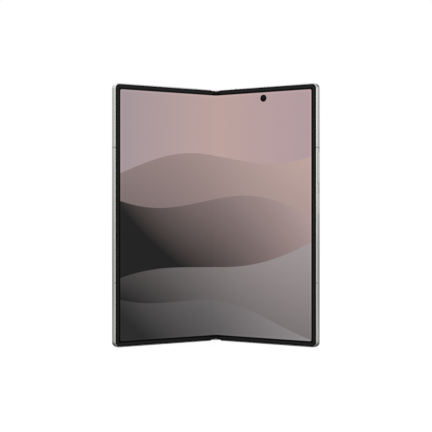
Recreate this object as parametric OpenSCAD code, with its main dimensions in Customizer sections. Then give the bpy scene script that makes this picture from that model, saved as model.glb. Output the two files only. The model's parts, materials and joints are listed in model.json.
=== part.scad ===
// Book-style folding phone, standing part-open on its lower edge.
// Row frame: Z up along the fold, the inner screen faces -Y, X to the right.
// Each half is drawn flat, with x from the fold plane outward, y from the screen plane to the back
// and z up from the lower edge. It is then turned about its own fold axis. All sizes are millimetres.

/* [Pose] */
// Angle between the two halves of the inner screen
opening = 116; // [90:1:180]

/* [Body] */
// Width of one half, from the fold plane to its outer edge
half_w = 71.6; // [68:0.2:80]
// Height of the body
body_h = 158.4; // [150:0.2:180]
// Thickness of one half
body_t = 4.2; // [4.1:0.1:5]
// Radius of the outer corners
corner_r = 3.2; // [3:0.1:6]
// Chamfer on the long edges of the frame
edge_chamfer = 0.4; // [0.2:0.05:0.5]
// Thickness of the frame's side wall
wall_t = 1.4; // [1.2:0.1:1.6]
// Thickness of the deck that carries the screen
deck_t = 1.1; // [1:0.05:1.2]
// Width of bare metal in front of the bezel
rim_w = 0.55; // [0.45:0.05:0.7]

/* [Inner screen] */
// Thickness of the folding panel
panel_t = 0.25; // [0.2:0.01:0.3]
// Thickness of the metal support plates
plate_t = 0.15; // [0.1:0.01:0.2]
// Distance from the body's edge to the panel
panel_inset = 1.95; // [1.7:0.05:2.2]
// Distance from the body's edge to the inside of the bezel
bezel_reach = 2.6; // [2.3:0.05:2.9]
// Height of the bezel in front of the panel
bezel_rise = 0.2; // [0.1:0.02:0.22]
// Half width of the part of the panel that bends
bend_w = 3.2; // [3:0.1:3.6]
// Depth of the crease at the middle of the bend
crease = 0.2; // [0.1:0.05:0.3]
// Inner camera: distance from the fold plane
selfie_x = 34.9; // [20:0.1:50]
// Inner camera: distance below the top edge
selfie_drop = 7.2; // [6.5:0.1:9]
// Inner camera: diameter of its hole in the screen
selfie_d = 4.4; // [3.4:0.1:4.8]

/* [Fold] */
// Distance of each fold axis from the fold plane
axis_out = 1.25; // [1.15:0.05:1.35]
// Depth of the fold axes behind the screen plane
axis_deep = 1; // [0.95:0.01:1.05]
// Outer radius of the spine about each fold axis
spine_r = 2.45; // [2.4:0.01:2.5]
// Wall of the spine cover
spine_wall = 0.4; // [0.3:0.02:0.42]
// Running gap between spine and halves
spine_gap = 0.1; // [0.08:0.01:0.15]
// How far the spine stops short of the body's ends
spine_inset = 0.35; // [0.2:0.05:0.6]
// Gap from the rear lip of each half to the fold plane
lip_gap = 0.15; // [0.1:0.01:0.3]

/* [Hinge modules] */
// Distance from the body's ends to the hinge modules
module_inset = 12; // [8:0.5:24]
// Offset of each arm shaft from its fold axis, outward and back
shaft_off = 0.6; // [0.57:0.01:0.62]
// Radius of the arm shafts
shaft_r = 0.3; // [0.25:0.01:0.32]
// Teeth on each synchronising gear
gear_teeth = 12; // [10:2:16]
// Inner radius of the curved rails
rail_in = 1; // [0.9:0.02:1.1]
// Outer radius of the curved rails
rail_out = 1.6; // [1.5:0.02:1.64]
// Running gap round rails, shafts and pins
play = 0.05; // [0.03:0.01:0.06]
// Length of each rotating bracket along the fold
bracket_l = 5; // [4:0.5:6]
// Reach of the rotating brackets into each half
bracket_reach = 9; // [8.6:0.1:11]
// Width of each swing arm along the fold
arm_l = 4.6; // [4:0.2:5]
// Reach of the swing arms from their shafts
arm_reach = 6.4; // [6:0.1:7.4]
// Wire diameter of the friction springs
spring_wire = 0.22; // [0.16:0.02:0.26]
// Turns of each friction spring
spring_turns = 6; // [4:1:8]

/* [Back] */
// Thickness of the cover glass and the back glass
glass_t = 0.45; // [0.4:0.05:0.6]
// Distance from the body's edge to the glass
glass_inset = 0.75; // [0.7:0.05:1]
// Distance from the fold plane to the glass
glass_from_fold = 2.4; // [2.3:0.1:3]
// Thickness of the cover display
cover_panel_t = 0.3; // [0.2:0.05:0.35]

/* [Rear cameras] */
// Width of the camera island
island_w = 18; // [17:0.5:20]
// Length of the camera island
island_l = 53; // [50:0.5:60]
// Height of the camera island over the glass
island_rise = 2.3; // [1.5:0.1:3]
// Distance from the body's outer edge to the island
island_side = 5.2; // [4.5:0.1:7]
// Distance from the body's top to the island
island_drop = 5.2; // [4.5:0.1:7]
// Number of rear cameras
camera_count = 3; // [2:1:3]
// Outer diameter of each lens ring
lens_ring_d = 14.4; // [13:0.2:15]
// Diameter of each lens window
lens_d = 11.2; // [10:0.2:12]
// Height of the lens rings over the island
lens_rise = 0.6; // [0.4:0.1:1]
// Diameter of the flash window
flash_d = 4.6; // [3.5:0.1:5.5]

/* [Keys, tray and ports] */
// Length of the volume key
volume_l = 18.9; // [16:0.1:22]
// Height of the volume key's middle over the body's middle
volume_up = 28.4; // [27:0.1:30]
// Length of the side key
side_key_l = 13; // [11:0.1:15]
// Height of the side key's middle over the body's middle
side_key_up = 6.7; // [5:0.1:8.5]
// Width of both keys across the edge
key_w = 1.9; // [1.6:0.05:2.1]
// How far the volume key stands out
key_proud = 0.35; // [0.2:0.05:0.5]
// Gap round the keys and the tray
key_gap = 0.08; // [0.05:0.01:0.12]
// Width of the card tray's door
tray_w = 14; // [13:0.2:16]
// Depth of the card tray
tray_l = 22; // [20:0.5:24]
// Thickness of the card tray's door
tray_t = 1.8; // [1.6:0.05:2]
// Distance from the body's outer edge to the middle of the loudspeaker and the earpiece
speaker_side = 17.6; // [15:0.2:18]
// Distance from the fold plane to the middle of the card tray
tray_x = 25; // [23.5:0.5:32]
// Width of the charging port's opening
port_w = 8.34; // [8.3:0.02:8.4]
// Thickness of the charging port's opening
port_t = 2.56; // [2.5:0.02:2.6]
// Depth of the charging port
port_l = 7.2; // [6.5:0.1:8]
// Number of slots in each speaker grille
grille_slots = 6; // [4:1:8]
// Length of each speaker slot
slot_l = 1.7; // [1.4:0.1:1.9]
// Height of the antenna bands over and under the middle
band_z = 40.6; // [36:0.1:44]
// Width of each antenna band
band_w = 0.9; // [0.6:0.1:1.4]

/* [Inside] */
// Gap round batteries and boards
bay_gap = 0.3; // [0.2:0.05:0.5]
// Height of the lower bay in each half
low_bay = 32; // [29:0.5:36]
// Height of the left upper bay
left_top_bay = 34; // [30:0.5:40]
// Height of the right upper bay
right_top_bay = 61; // [60:0.5:66]
// Thickness of the circuit boards
board_t = 0.7; // [0.5:0.05:0.9]
// Outer diameter of the charging coil
coil_d = 42; // [36:1:46]

/* [Hidden] */
$fn = 48;
eps = 0.02;
// A depth past everything, for cuts that run right through
past = 9;
theta = (180 - opening) / 2;
// Depths behind the screen plane
deck_y = panel_t + plate_t;
deck_back = deck_y + deck_t;
glass_y = body_t - glass_t;
bay_back = glass_y - cover_panel_t;
pocket_r = spine_r + spine_gap;
pocket_edge_r = 0.9;
cradle_r = spine_r - spine_wall - play;
cap_t = 0.8;
plug_t = 1.6;
// Clearance of screws, pins and windows in holes that only locate them
fit = 0.01;
window_gap = 0.05;
barrel_gap = 0.1;
// Shafts and gears lie on one line behind the fold axes
shaft_x = axis_out + shaft_off;
shaft_y = axis_deep + shaft_off;
pitch_r = shaft_x / 3;
gear_module = 2 * pitch_r / gear_teeth;
pressure = 25;
tip_r = pitch_r + 0.8 * gear_module;
root_r = pitch_r - 1.05 * gear_module;
base_r = pitch_r * cos(pressure);
tooth_backlash = 1.4;
// Teeth of the two idlers sit half a pitch from each other and from their shaft gears
half_pitch = 180 / gear_teeth;
flank_steps = 3;
flank_r = [for (i = [0:flank_steps]) let (r0 = max(base_r, root_r)) r0 + (tip_r - r0) * i / flank_steps];
floor_y = shaft_y + tip_r + 0.08;
idler_pin_r = shaft_r * 0.8;
hub_r = 2 * shaft_r;
// Module stations along the fold, from its outer end
bearing_w = 1;
gear_l = 1.4;
gear_z = bearing_w + play;
second_wall = gear_z + gear_l + play;
arm_z = second_wall + bearing_w + play;
third_wall = arm_z + arm_l + play;
spring_z = third_wall + bearing_w + play;
spring_l = 4.6;
washer_t = 0.3;
spring_mean_r = shaft_r + 0.06 + spring_wire / 2;
rings_per_turn = 8;
wire_sides = 6;
spring_rings = spring_turns * rings_per_turn;
fourth_wall = spring_z + spring_l + 2 * washer_t + play;
rail_wall = 0.5;
rail_a = fourth_wall + bearing_w + play;
rail_b = rail_a + bracket_l + rail_wall + 2 * play;
module_l = rail_b + bracket_l + play + bearing_w;
middle_rail_a = rail_wall + play;
middle_rail_b = middle_rail_a + bracket_l + rail_wall + 2 * play;
middle_l = middle_rail_b + bracket_l + play + rail_wall;
middle_z = (body_h - middle_l) / 2;
arm_stations = [module_inset + arm_z, body_h - module_inset - arm_z - arm_l];
base_screw_stations = [arm_z + arm_l / 2, spring_z + spring_l / 2];
base_screw_head_t = 0.25;
// Swing arm, drawn flat about its shaft
arm_top = shaft_off + axis_deep - deck_y - 0.06;
arm_bottom = shaft_off + 0.12;
arm_mid = (arm_top + arm_bottom) / 2;
arm_sink = shaft_off * (sqrt(2) - 1);
slide_pin_r = 0.18;
slide_pin_back = 0.7;
slide_pin_over = 0.5;
// Rotating bracket, drawn flat
bracket_top = deck_y + 0.04;
bracket_bottom = axis_deep - 0.12;
bracket_x = axis_out + 0.9;
// Depth of the bracket's front face beside the fold, where the panel dips as it bends
bracket_neck = bracket_top + 0.22;
bracket_ease = [0.6, 0.13];
// Hinge side of the frame
hinge_wall_x = 4.6;
arm_pocket_x = shaft_x + arm_reach + 0.35;
// The bend, and the bezel beside it
bend_steps = 12;
bezel_end_x = 2.4;
fold_clear_x = axis_out + pocket_r + 0.05;
fold_bezel_drop = 0.3;
fold_bezel_x = 2.1;
// Ribbon cables that cross the spine under the screen
cable_t = 0.14;
cable_w = 9;
cable_stations = [middle_z - 14, middle_z + middle_l + 5];
cable_reach = 11;
cable_y = deck_y + 0.28;
cable_deep = axis_deep + 1.1;
cable_room = 0.45;
cable_side = 0.3;
cable_steps = 10;
cable_land_x = hinge_wall_x + 0.6;
// Screws that hold the brackets
screw_r = 0.35;
screw_head_r = 0.75;
screw_head_t = 0.2;
screw_inset = 1.3;
screw_rows = [bracket_l * 0.25, bracket_l * 0.75];
screw_l = 0.9;
// Glass on the back, and the display under it
glass_gap = 0.04;
cover_panel_inset = 1.6;
cover_panel_from_fold = glass_from_fold + 3;
// Interior limits
in_x0 = hinge_wall_x + bay_gap;
in_x1 = half_w - 2.9;
in_z0 = wall_t + bay_gap;
in_z1 = body_h - wall_t - bay_gap;
board_inset = 1;
board_end_gap = 0.4;
battery_corner = 1.5;
case_corner = 0.8;
can_corner = 0.5;
// Cameras
island_x = half_w - island_side - island_w / 2;
island_z = body_h - island_drop - island_l / 2;
island_r = island_w / 2;
island_step = 0.4;
// The island's flange drops through a hole in the glass, this far in from the island's edge
flange_inset = 1.04;
// A round end has a radius this much under half its width, so that its sides stay flat
pill_flat = 0.01;
lens_pitch = (island_l - island_w) / (camera_count - 1);
lens_z0 = island_z - lens_pitch * (camera_count - 1) / 2;
lens_ring_y = body_t + island_rise;
camera_body_w = 10.4;
flash_x = island_x - island_w / 2 - flash_d;
flash_z = lens_z0 + lens_pitch * (camera_count - 1);
selfie_z = body_h - selfie_drop;
selfie_body_w = 5.6;
window_t = 0.8;
window_sink = 0.15;
ring_chamfer = 0.25;
cover_cam_x = (glass_from_fold + half_w - glass_inset) / 2;
cover_cam_z = body_h - 7.4;
cover_cam_d = 3.8;
// Keys
key_travel = 0.25;
volume_z = body_h / 2 + volume_up;
side_key_z = body_h / 2 + side_key_up;
key_flange = 0.8;
key_flange_t = 0.35;
key_shelf = wall_t - 0.5;
key_shelf_gap = 0.26;
key_in = key_shelf + key_shelf_gap + key_flange_t;
key_y = body_t / 2;
side_key_proud = 0.12;
dome_t = 0.12;
switch_u = key_in + key_travel + 0.04 + dome_t;
switch_t = 0.5;
key_pivot_r = switch_u - key_in - play;
// Ports
port_x = half_w / 2;
port_shell = 0.3;
port_board_w = 28;
port_y = deck_y + port_shell + port_t / 2 + 0.16;
tray_y = 2.45;
card_t = 1.1;
card_w = tray_w - 2;
card_z = wall_t + 1.2;
card_edge = 0.9;
card_floor = 0.3;
contact_edge = 1.6;
door_t = 0.85;
eject_gap = 2.2;
eject_r = 0.4;
reader_l = tray_l + 2.4;
reader_wall = 0.25;
grille_pitch = slot_l + 0.9;
grille_w = 0.9;
grille_y = 2.3;
speaker_x = half_w - speaker_side;
speaker_w = 18;
speaker_l = 11;
earpiece_x = half_w - speaker_side;
earpiece_w = 15;
earpiece_l = 7;
band_x = 15;
mic_r = 0.45;
earpiece_mic_side = 20;
port_mic_side = 9;
selfie_mic_side = 8;
// Other inner parts
shield_h = 1;
shield_side = 2;
shield_split = 1;
tongue_w = 6.2;
tongue_t = 0.7;
motor_w = 10;
motor_l = 14;
coil_z = (low_bay + body_h - right_top_bay) / 2;
cover_cam_body = 2.6;
inner_gap = 0.15;
dome_r = 0.75;
// Bring the middle of the body's depth to y = 0
front_y = axis_deep - (half_w - rim_w - axis_out) * sin(theta) - (bezel_rise + axis_deep) * cos(theta);
rear_y = axis_deep + (axis_out - lip_gap) * sin(theta) + (body_t - axis_deep) * cos(theta);
origin_y = -(front_y + rear_y) / 2;

// ---------- helpers ----------

// A box given by its limits
module block(x0, x1, y0, y1, z0, z1) {
  translate([x0, y0, z0]) cube([x1 - x0, y1 - y0, z1 - z0]);
}

// A rectangle with round corners, given by its limits
module round_rect(x0, x1, z0, z1, r) {
  translate([x0 + r, z0]) square([x1 - x0 - 2 * r, z1 - z0]);
  translate([x0, z0 + r]) square([x1 - x0, z1 - z0 - 2 * r]);
  for (x = [x0 + r, x1 - r], z = [z0 + r, z1 - r]) translate([x, z]) circle(r);
}

// Raises a drawing in x and z from depth y0 to depth y1
module sheet(y0, y1) {
  translate([0, y1, 0]) rotate([90, 0, 0]) linear_extrude(y1 - y0) children();
}

module round_plate(x0, x1, y0, y1, z0, z1, r) {
  sheet(y0, y1) round_rect(x0, x1, z0, z1, r);
}

// A round pin along the depth
module depth_pin(x, z, r, y0, y1) {
  translate([x, y1, z]) rotate([90, 0, 0]) cylinder(r = r, h = y1 - y0);
}

// A round pin along the fold
module fold_pin(x, y, r, z0, z1) {
  translate([x, y, z0]) cylinder(r = r, h = z1 - z0);
}

// A slot with round ends, long in x and cut along z
module edge_slot(x, y, w, t, z0, z1) {
  translate([x, y, z0]) linear_extrude(z1 - z0) {
    square([w - t, t], center = true);
    for (s = [-1, 1]) translate([s * (w - t) / 2, 0]) circle(t / 2);
  }
}

// The same slot, long in z and cut along x
module side_slot(z, y, l, t, x0, x1) {
  translate([x0, y, z]) rotate([0, 90, 0]) linear_extrude(x1 - x0) {
    square([l - t, t], center = true);
    for (s = [-1, 1]) translate([s * (l - t) / 2, 0]) circle(t / 2);
  }
}

// Sweeps a profile round the outer side, top and bottom of a half.
// The profile's x is the distance in from the body's edge, and its y is the depth.
module sweep_edge(x_in) {
  translate([half_w, 0, corner_r]) linear_extrude(body_h - 2 * corner_r) mirror([1, 0]) children();
  translate([x_in, 0, body_h]) rotate([0, 90, 0]) linear_extrude(half_w - corner_r - x_in) children();
  translate([half_w - corner_r, 0, 0]) rotate([0, -90, 0])
    linear_extrude(half_w - corner_r - x_in) children();
  translate([half_w - corner_r, 0, body_h - corner_r]) rotate([-90, 0, 0]) rotate([0, 0, -90]) edge_corner()
    children();
  translate([half_w - corner_r, 0, corner_r]) rotate([-90, 0, 0]) edge_corner() children();
}

module edge_corner() {
  rotate_extrude(angle = 90) translate([corner_r, 0]) mirror([1, 0]) children();
}

// Places a piece that is drawn on the fold plane
module on_spine() {
  translate([0, origin_y, 0]) children();
}

// Turns a half, drawn flat, about its fold axis
module on_right() {
  translate([axis_out, origin_y + axis_deep, 0]) rotate([0, 0, -theta]) translate([-axis_out, -axis_deep, 0])
    children();
}

module on_left() {
  mirror([1, 0, 0]) on_right() children();
}

// Turns a piece drawn about the right-hand shaft
module on_right_shaft() {
  translate([shaft_x, origin_y + shaft_y, 0]) rotate([0, 0, -theta]) children();
}

module on_left_shaft() {
  mirror([1, 0, 0]) on_right_shaft() children();
}

// Repeats a piece at the lower and the upper hinge module, whose gears face the body's ends
module at_modules() {
  translate([0, 0, module_inset]) children();
  translate([0, 0, body_h - module_inset]) mirror([0, 0, 1]) children();
}

// ---------- spine ----------

// Section of the spine at a radius about both fold axes, behind the level of the axes
module spine_section(r) {
  intersection() {
    union() {
      for (s = [-1, 1]) translate([s * axis_out, axis_deep]) circle(r);
      translate([-axis_out, axis_deep]) square([2 * axis_out, r]);
    }
    translate([-axis_out - r, axis_deep]) square([2 * (axis_out + r), r]);
  }
}

module spine_cover() {
  color("silver") on_spine() translate([0, 0, spine_inset + cap_t])
    linear_extrude(body_h - 2 * (spine_inset + cap_t)) difference() {
      spine_section(spine_r);
      spine_section(spine_r - spine_wall);
    }
}

module spine_end_cap() {
  linear_extrude(cap_t) spine_section(spine_r);
  linear_extrude(cap_t + plug_t) spine_section(cradle_r);
}

module spine_end_caps() {
  color("gray") on_spine() {
    translate([0, 0, spine_inset]) spine_end_cap();
    translate([0, 0, body_h - spine_inset]) mirror([0, 0, 1]) spine_end_cap();
  }
}

// Floor of a hinge base, along the rear of the spine
module base_floor(l) {
  linear_extrude(l) intersection() {
    spine_section(cradle_r);
    translate([-2 * spine_r, floor_y]) square([4 * spine_r, 2 * spine_r]);
  }
}

// A wall of a hinge base, with bearings for the shafts and, where asked, for the idler pins
module bearing_wall(z, idlers) {
  difference() {
    translate([0, 0, z]) linear_extrude(bearing_w) spine_section(cradle_r);
    for (s = [-1, 1]) fold_pin(s * shaft_x, shaft_y, shaft_r + play, z - 1, z + bearing_w + 1);
    if (idlers)
      for (s = [-1, 1]) fold_pin(s * pitch_r, shaft_y, idler_pin_r + play, z - 1, z + bearing_w + 1);
  }
}

// A block that one rotating bracket runs in
module rail_block(z, wall_before, wall_after) {
  translate([0, 0, z - wall_before]) linear_extrude(bracket_l + 2 * play + wall_before + wall_after)
    spine_section(cradle_r);
}

// The curved groove for the bracket of one side: -1 for left, 1 for right
module rail_groove(z, side) {
  z1 = z + bracket_l + 2 * play;
  difference() {
    fold_pin(side * axis_out, axis_deep, rail_out + play, z, z1);
    fold_pin(side * axis_out, axis_deep, rail_in - play, z - 1, z1 + 1);
  }
}

module hinge_base() {
  difference() {
    union() {
      base_floor(module_l);
      bearing_wall(0, true);
      bearing_wall(second_wall, true);
      bearing_wall(third_wall, false);
      bearing_wall(fourth_wall, false);
      rail_block(rail_a - play, bearing_w, rail_wall);
      rail_block(rail_b - play, rail_wall, bearing_w);
    }
    rail_groove(rail_a - play, -1);
    rail_groove(rail_b - play, 1);
    for (s = [-1, 1]) fold_pin(s * shaft_x, shaft_y, shaft_r + play, -1, fourth_wall + bearing_w);
    base_screw_holes();
  }
}

module middle_base() {
  difference() {
    union() {
      base_floor(middle_l);
      rail_block(middle_rail_a - play, rail_wall, rail_wall);
      rail_block(middle_rail_b - play, rail_wall, rail_wall);
    }
    rail_groove(middle_rail_a - play, -1);
    rail_groove(middle_rail_b - play, 1);
  }
}

// Holes for the screws that hold each hinge base to the spine cover, from inside
module base_screw_holes() {
  for (z = base_screw_stations) depth_pin(0, z, screw_r + fit, 1, 5);
}

module base_screws() {
  color("dimgray") on_spine() at_modules() for (z = base_screw_stations) {
    depth_pin(0, z, screw_r, floor_y - base_screw_head_t, axis_deep + cradle_r);
    depth_pin(0, z, screw_head_r, floor_y - base_screw_head_t, floor_y);
  }
}

module hinge_bases() {
  color("darkgray") on_spine() {
    at_modules() hinge_base();
    translate([0, 0, middle_z]) middle_base();
  }
}

// ---------- gears, shafts and arms ----------

function involute(angle) = tan(angle) * 180 / PI - angle;

// Half the angle of a tooth at radius r
function tooth_half(r) =
  90 / gear_teeth - tooth_backlash + involute(pressure) - involute(acos(min(1, base_r / r)));

function polar(r, angle) = r * [cos(angle), sin(angle)];

module gear(phase) {
  pitch = 360 / gear_teeth;
  rotate(phase) polygon([
    for (t = [0:gear_teeth - 1]) let (c = t * pitch) each concat(
      [polar(root_r, c - tooth_half(flank_r[0]))],
      [for (r = flank_r) polar(r, c - tooth_half(r))],
      [for (i = [flank_steps:-1:0]) polar(flank_r[i], c + tooth_half(flank_r[i]))],
      [polar(root_r, c + tooth_half(flank_r[0]))]
    )
  ]);
}

module idler(side, phase) {
  translate([side * pitch_r, shaft_y, 0]) {
    translate([0, 0, gear_z]) linear_extrude(gear_l) gear(phase);
    cylinder(r = idler_pin_r, h = second_wall + bearing_w);
  }
}

module idler_gears_left() {
  color("gold") on_spine() at_modules() idler(-1, half_pitch);
}

module idler_gears_right() {
  color("goldenrod") on_spine() at_modules() idler(1, 0);
}

// A shaft with its gear cut on it. The phase keeps the teeth in mesh whatever the opening angle.
module gear_shaft(phase) {
  cylinder(r = shaft_r, h = fourth_wall + bearing_w);
  translate([0, 0, gear_z]) linear_extrude(gear_l) gear(phase);
}

module gear_shafts_left() {
  color("lightsteelblue") on_left_shaft() at_modules() gear_shaft(180 + theta);
}

module gear_shafts_right() {
  color("lightsteelblue") on_right_shaft() at_modules() gear_shaft(half_pitch + theta);
}

// A swing arm: a hub on the shaft, a leaf that slides in the half, and a cross pin in the half's slots
module swing_arm() {
  translate([0, 0, arm_z]) {
    difference() {
      union() {
        cylinder(r = hub_r, h = arm_l);
        linear_extrude(arm_l) polygon([
          [-0.45, 0], [-0.45, -arm_bottom], [-0.1, -arm_top], [arm_reach, -arm_top],
          [arm_reach, -arm_bottom], [hub_r + 0.35, -arm_bottom], [hub_r - 0.02, -0.1], [0.3, 0]
        ]);
      }
      translate([0, 0, -1]) cylinder(r = shaft_r + fit, h = arm_l + 2);
    }
    translate([arm_reach - slide_pin_back, -arm_mid, -slide_pin_over])
      cylinder(r = slide_pin_r, h = arm_l + 2 * slide_pin_over);
  }
}

module swing_arms_left() {
  color("steelblue") on_left_shaft() at_modules() swing_arm();
}

module swing_arms_right() {
  color("steelblue") on_right_shaft() at_modules() swing_arm();
}

// ---------- friction springs ----------

function spring_ring(i) =
  let (turn = 360 * i / rings_per_turn, rise = (spring_l - spring_wire) * i / spring_rings)
  [for (k = [0:wire_sides - 1]) let (q = 360 * k / wire_sides, r = spring_mean_r + spring_wire / 2 * cos(q))
    [r * cos(turn), r * sin(turn), spring_wire / 2 + rise + spring_wire / 2 * sin(q)]];

module spring() {
  points = [for (i = [0:spring_rings]) each spring_ring(i)];
  last = spring_rings * wire_sides;
  faces = concat(
    [[for (k = [0:wire_sides - 1]) k]],
    [for (i = [0:spring_rings - 1], k = [0:wire_sides - 1])
      let (a = i * wire_sides + k, b = i * wire_sides + (k + 1) % wire_sides) each [
        [a, a + wire_sides, b + wire_sides], [a, b + wire_sides, b]]],
    [[for (k = [wire_sides - 1:-1:0]) last + k]]
  );
  polyhedron(points, faces);
}

module friction_springs() {
  color("lightgray") on_spine() at_modules() for (s = [-1, 1])
    translate([s * shaft_x, shaft_y, spring_z + washer_t]) spring();
}

module friction_washers() {
  color("darkkhaki") on_spine() at_modules() for (s = [-1, 1], z = [spring_z, spring_z + washer_t + spring_l])
    translate([s * shaft_x, shaft_y, z]) difference() {
      cylinder(r = hub_r, h = washer_t);
      translate([0, 0, -1]) cylinder(r = shaft_r + play, h = washer_t + 2);
    }
}

// ---------- the bend in the screen ----------

// How much of a half's turn a point of the bend follows, from 0 at the fold plane to 1 at the half
function turn_share(t) = t * t * (3 - 2 * t);

// A point of the bend: x along the flat panel from the fold plane, y behind its front face
function bend_point(x, y) =
  let (
    t = min(1, x / bend_w),
    angle = theta * turn_share(t),
    u = x - axis_out,
    v = y + crease * (1 - turn_share(t)) - axis_deep
  )
  [axis_out + u * cos(angle) + v * sin(angle), axis_deep - u * sin(angle) + v * cos(angle)];

// Section of the bend from its middle to the reach given, between two depths
module bend_section(reach, y0, y1) {
  right_front = [for (i = [0:bend_steps]) bend_point(reach * i / bend_steps, y0)];
  right_back = [for (i = [bend_steps:-1:0]) bend_point(reach * i / bend_steps, y1)];
  for (s = [0, 1]) mirror([s, 0]) polygon(concat(right_front, right_back));
}

module display_fold() {
  color("darkslategray") on_spine() translate([0, 0, panel_inset])
    linear_extrude(body_h - 2 * panel_inset) bend_section(bend_w, 0, deck_y);
}

module fold_bezel() {
  strip = bezel_reach - rim_w - fold_bezel_drop;
  color("black") on_spine() for (z = [rim_w + fold_bezel_drop, body_h - bezel_reach])
    translate([0, 0, z]) linear_extrude(strip) bend_section(fold_bezel_x, -bezel_rise, 0);
}

function bezier(p, t) =
  pow(1 - t, 3) * p[0] + 3 * t * pow(1 - t, 2) * p[1] + 3 * t * t * (1 - t) * p[2] + pow(t, 3) * p[3];

// A point of the right half, drawn flat, where the half stands
function turned(x, y) =
  let (u = x - axis_out, v = y - axis_deep)
  [axis_out + u * cos(theta) + v * sin(theta), axis_deep - u * sin(theta) + v * cos(theta)];

cable_path = [[0, cable_deep], [axis_out + 0.65, cable_deep], turned(cable_land_x - 2.1, cable_y + 0.05),
  turned(cable_land_x, cable_y)];

module cable_section() {
  mid = [for (i = [0:cable_steps]) bezier(cable_path, i / cable_steps)];
  ahead = [for (i = [0:cable_steps]) bezier(cable_path, min(1, (i + 0.05) / cable_steps))
    - bezier(cable_path, max(0, (i - 0.05) / cable_steps))];
  side = [for (a = ahead) [-a[1], a[0]] / norm(a) * cable_t / 2];
  for (s = [0, 1]) mirror([s, 0]) {
    polygon(concat(
      [for (i = [0:cable_steps]) mid[i] + side[i]],
      [for (i = [cable_steps:-1:0]) mid[i] - side[i]]
    ));
    polygon([
      turned(cable_land_x, cable_y - cable_t / 2), turned(cable_reach, cable_y - cable_t / 2),
      turned(cable_reach, cable_y + cable_t / 2), turned(cable_land_x, cable_y + cable_t / 2)
    ]);
  }
}

module hinge_flex_cables() {
  color("peru") on_spine() for (z = cable_stations)
    translate([0, 0, z]) linear_extrude(cable_w) cable_section();
}

// ---------- parts that both halves have ----------

// Frame section: metal rim, chamfered edges, seat for the bezel in front and for the glass behind
module wall_profile() {
  polygon([
    [rim_w, deck_y], [rim_w, 0], [edge_chamfer, 0], [0, edge_chamfer],
    [0, body_t - edge_chamfer], [edge_chamfer, body_t], [glass_inset, body_t], [glass_inset, glass_y],
    [wall_t, glass_y], [wall_t, deck_y]
  ]);
}

module bezel_profile() {
  polygon([
    [rim_w, deck_y], [rim_w, -bezel_rise / 2], [rim_w + 0.1, -bezel_rise],
    [bezel_reach - 0.15, -bezel_rise], [bezel_reach, -bezel_rise / 3], [bezel_reach, 0],
    [panel_inset, 0], [panel_inset, deck_y]
  ]);
}

// Every station of a bracket on the left (side -1) or the right (side 1): [z of its lower end]
function bracket_stations(side) =
  let (a = side < 0 ? rail_a : rail_b, m = side < 0 ? middle_rail_a : middle_rail_b)
  [module_inset + a, middle_z + m, body_h - module_inset - a - bracket_l];

module rotating_bracket() {
  difference() {
    union() {
      difference() {
        linear_extrude(bracket_l) intersection() {
          difference() {
            translate([axis_out, axis_deep]) circle(rail_out);
            translate([axis_out, axis_deep]) circle(rail_in);
          }
          translate([axis_out - spine_r, bracket_neck]) square(2 * spine_r);
        }
        block(axis_out - spine_r, axis_out, 0, axis_deep + 0.1, -1, bracket_l + 1);
      }
      linear_extrude(bracket_l) polygon([
        [bend_w, bracket_top], [bracket_reach, bracket_top], [bracket_reach, bracket_bottom],
        [bracket_x, bracket_bottom], [bracket_x, bracket_neck],
        [bracket_x + bracket_ease.x, bracket_neck - bracket_ease.y]
      ]);
    }
    for (z = screw_rows) depth_pin(bracket_reach - screw_inset, z, screw_r + fit, 0, 2);
    for (z = screw_rows)
      depth_pin(bracket_reach - screw_inset, z, screw_head_r + 2 * fit, bracket_top - 1,
        bracket_top + screw_head_t);
  }
}

module bracket_screws(side) {
  for (z0 = bracket_stations(side), z = screw_rows) {
    depth_pin(bracket_reach - screw_inset, z0 + z, screw_head_r, bracket_top, bracket_top + screw_head_t);
    depth_pin(bracket_reach - screw_inset, z0 + z, screw_r, bracket_top, bracket_top + screw_l);
  }
}

module rotating_brackets(side) {
  for (z = bracket_stations(side)) translate([0, 0, z]) rotating_bracket();
}

// Pockets in the front of the deck for the brackets, the arms with their pins, and the cables
module hinge_pockets(side) {
  for (z = bracket_stations(side))
    block(0, bracket_reach + play, 0, bracket_bottom, z - play, z + bracket_l + play);
  for (z = bracket_stations(side), r = screw_rows)
    depth_pin(bracket_reach - screw_inset, z + r, screw_r + fit, 0, bracket_top + screw_l);
  for (z = arm_stations) {
    floor_y = axis_deep + shaft_off - arm_bottom + arm_sink + play;
    block(0, arm_pocket_x, 0, floor_y, z - play, z + arm_l + play);
    pin_x = shaft_x + arm_reach - slide_pin_back;
    pin_y = axis_deep + shaft_off - arm_mid;
    block(pin_x - 2 * shaft_off - slide_pin_r - 0.1, pin_x + slide_pin_r + 0.1, 0,
      pin_y + arm_sink + slide_pin_r + play, z - slide_pin_over - play, z + arm_l + slide_pin_over + play);
  }
  for (z = cable_stations)
    block(0, cable_reach + cable_room, 0, cable_y + cable_room, z - cable_side, z + cable_w + cable_side);
}

// Gaps in the side wall that the antenna bands fill
module band_gaps() {
  for (s = [-1, 1])
    block(half_w - wall_t, half_w + 1, -1, body_t + 1, body_h / 2 + s * band_z - band_w / 2,
      body_h / 2 + s * band_z + band_w / 2);
  for (z = [0, body_h - wall_t])
    block(band_x - band_w / 2, band_x + band_w / 2, -1, body_t + 1, z - eps, z + wall_t + eps);
}

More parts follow.
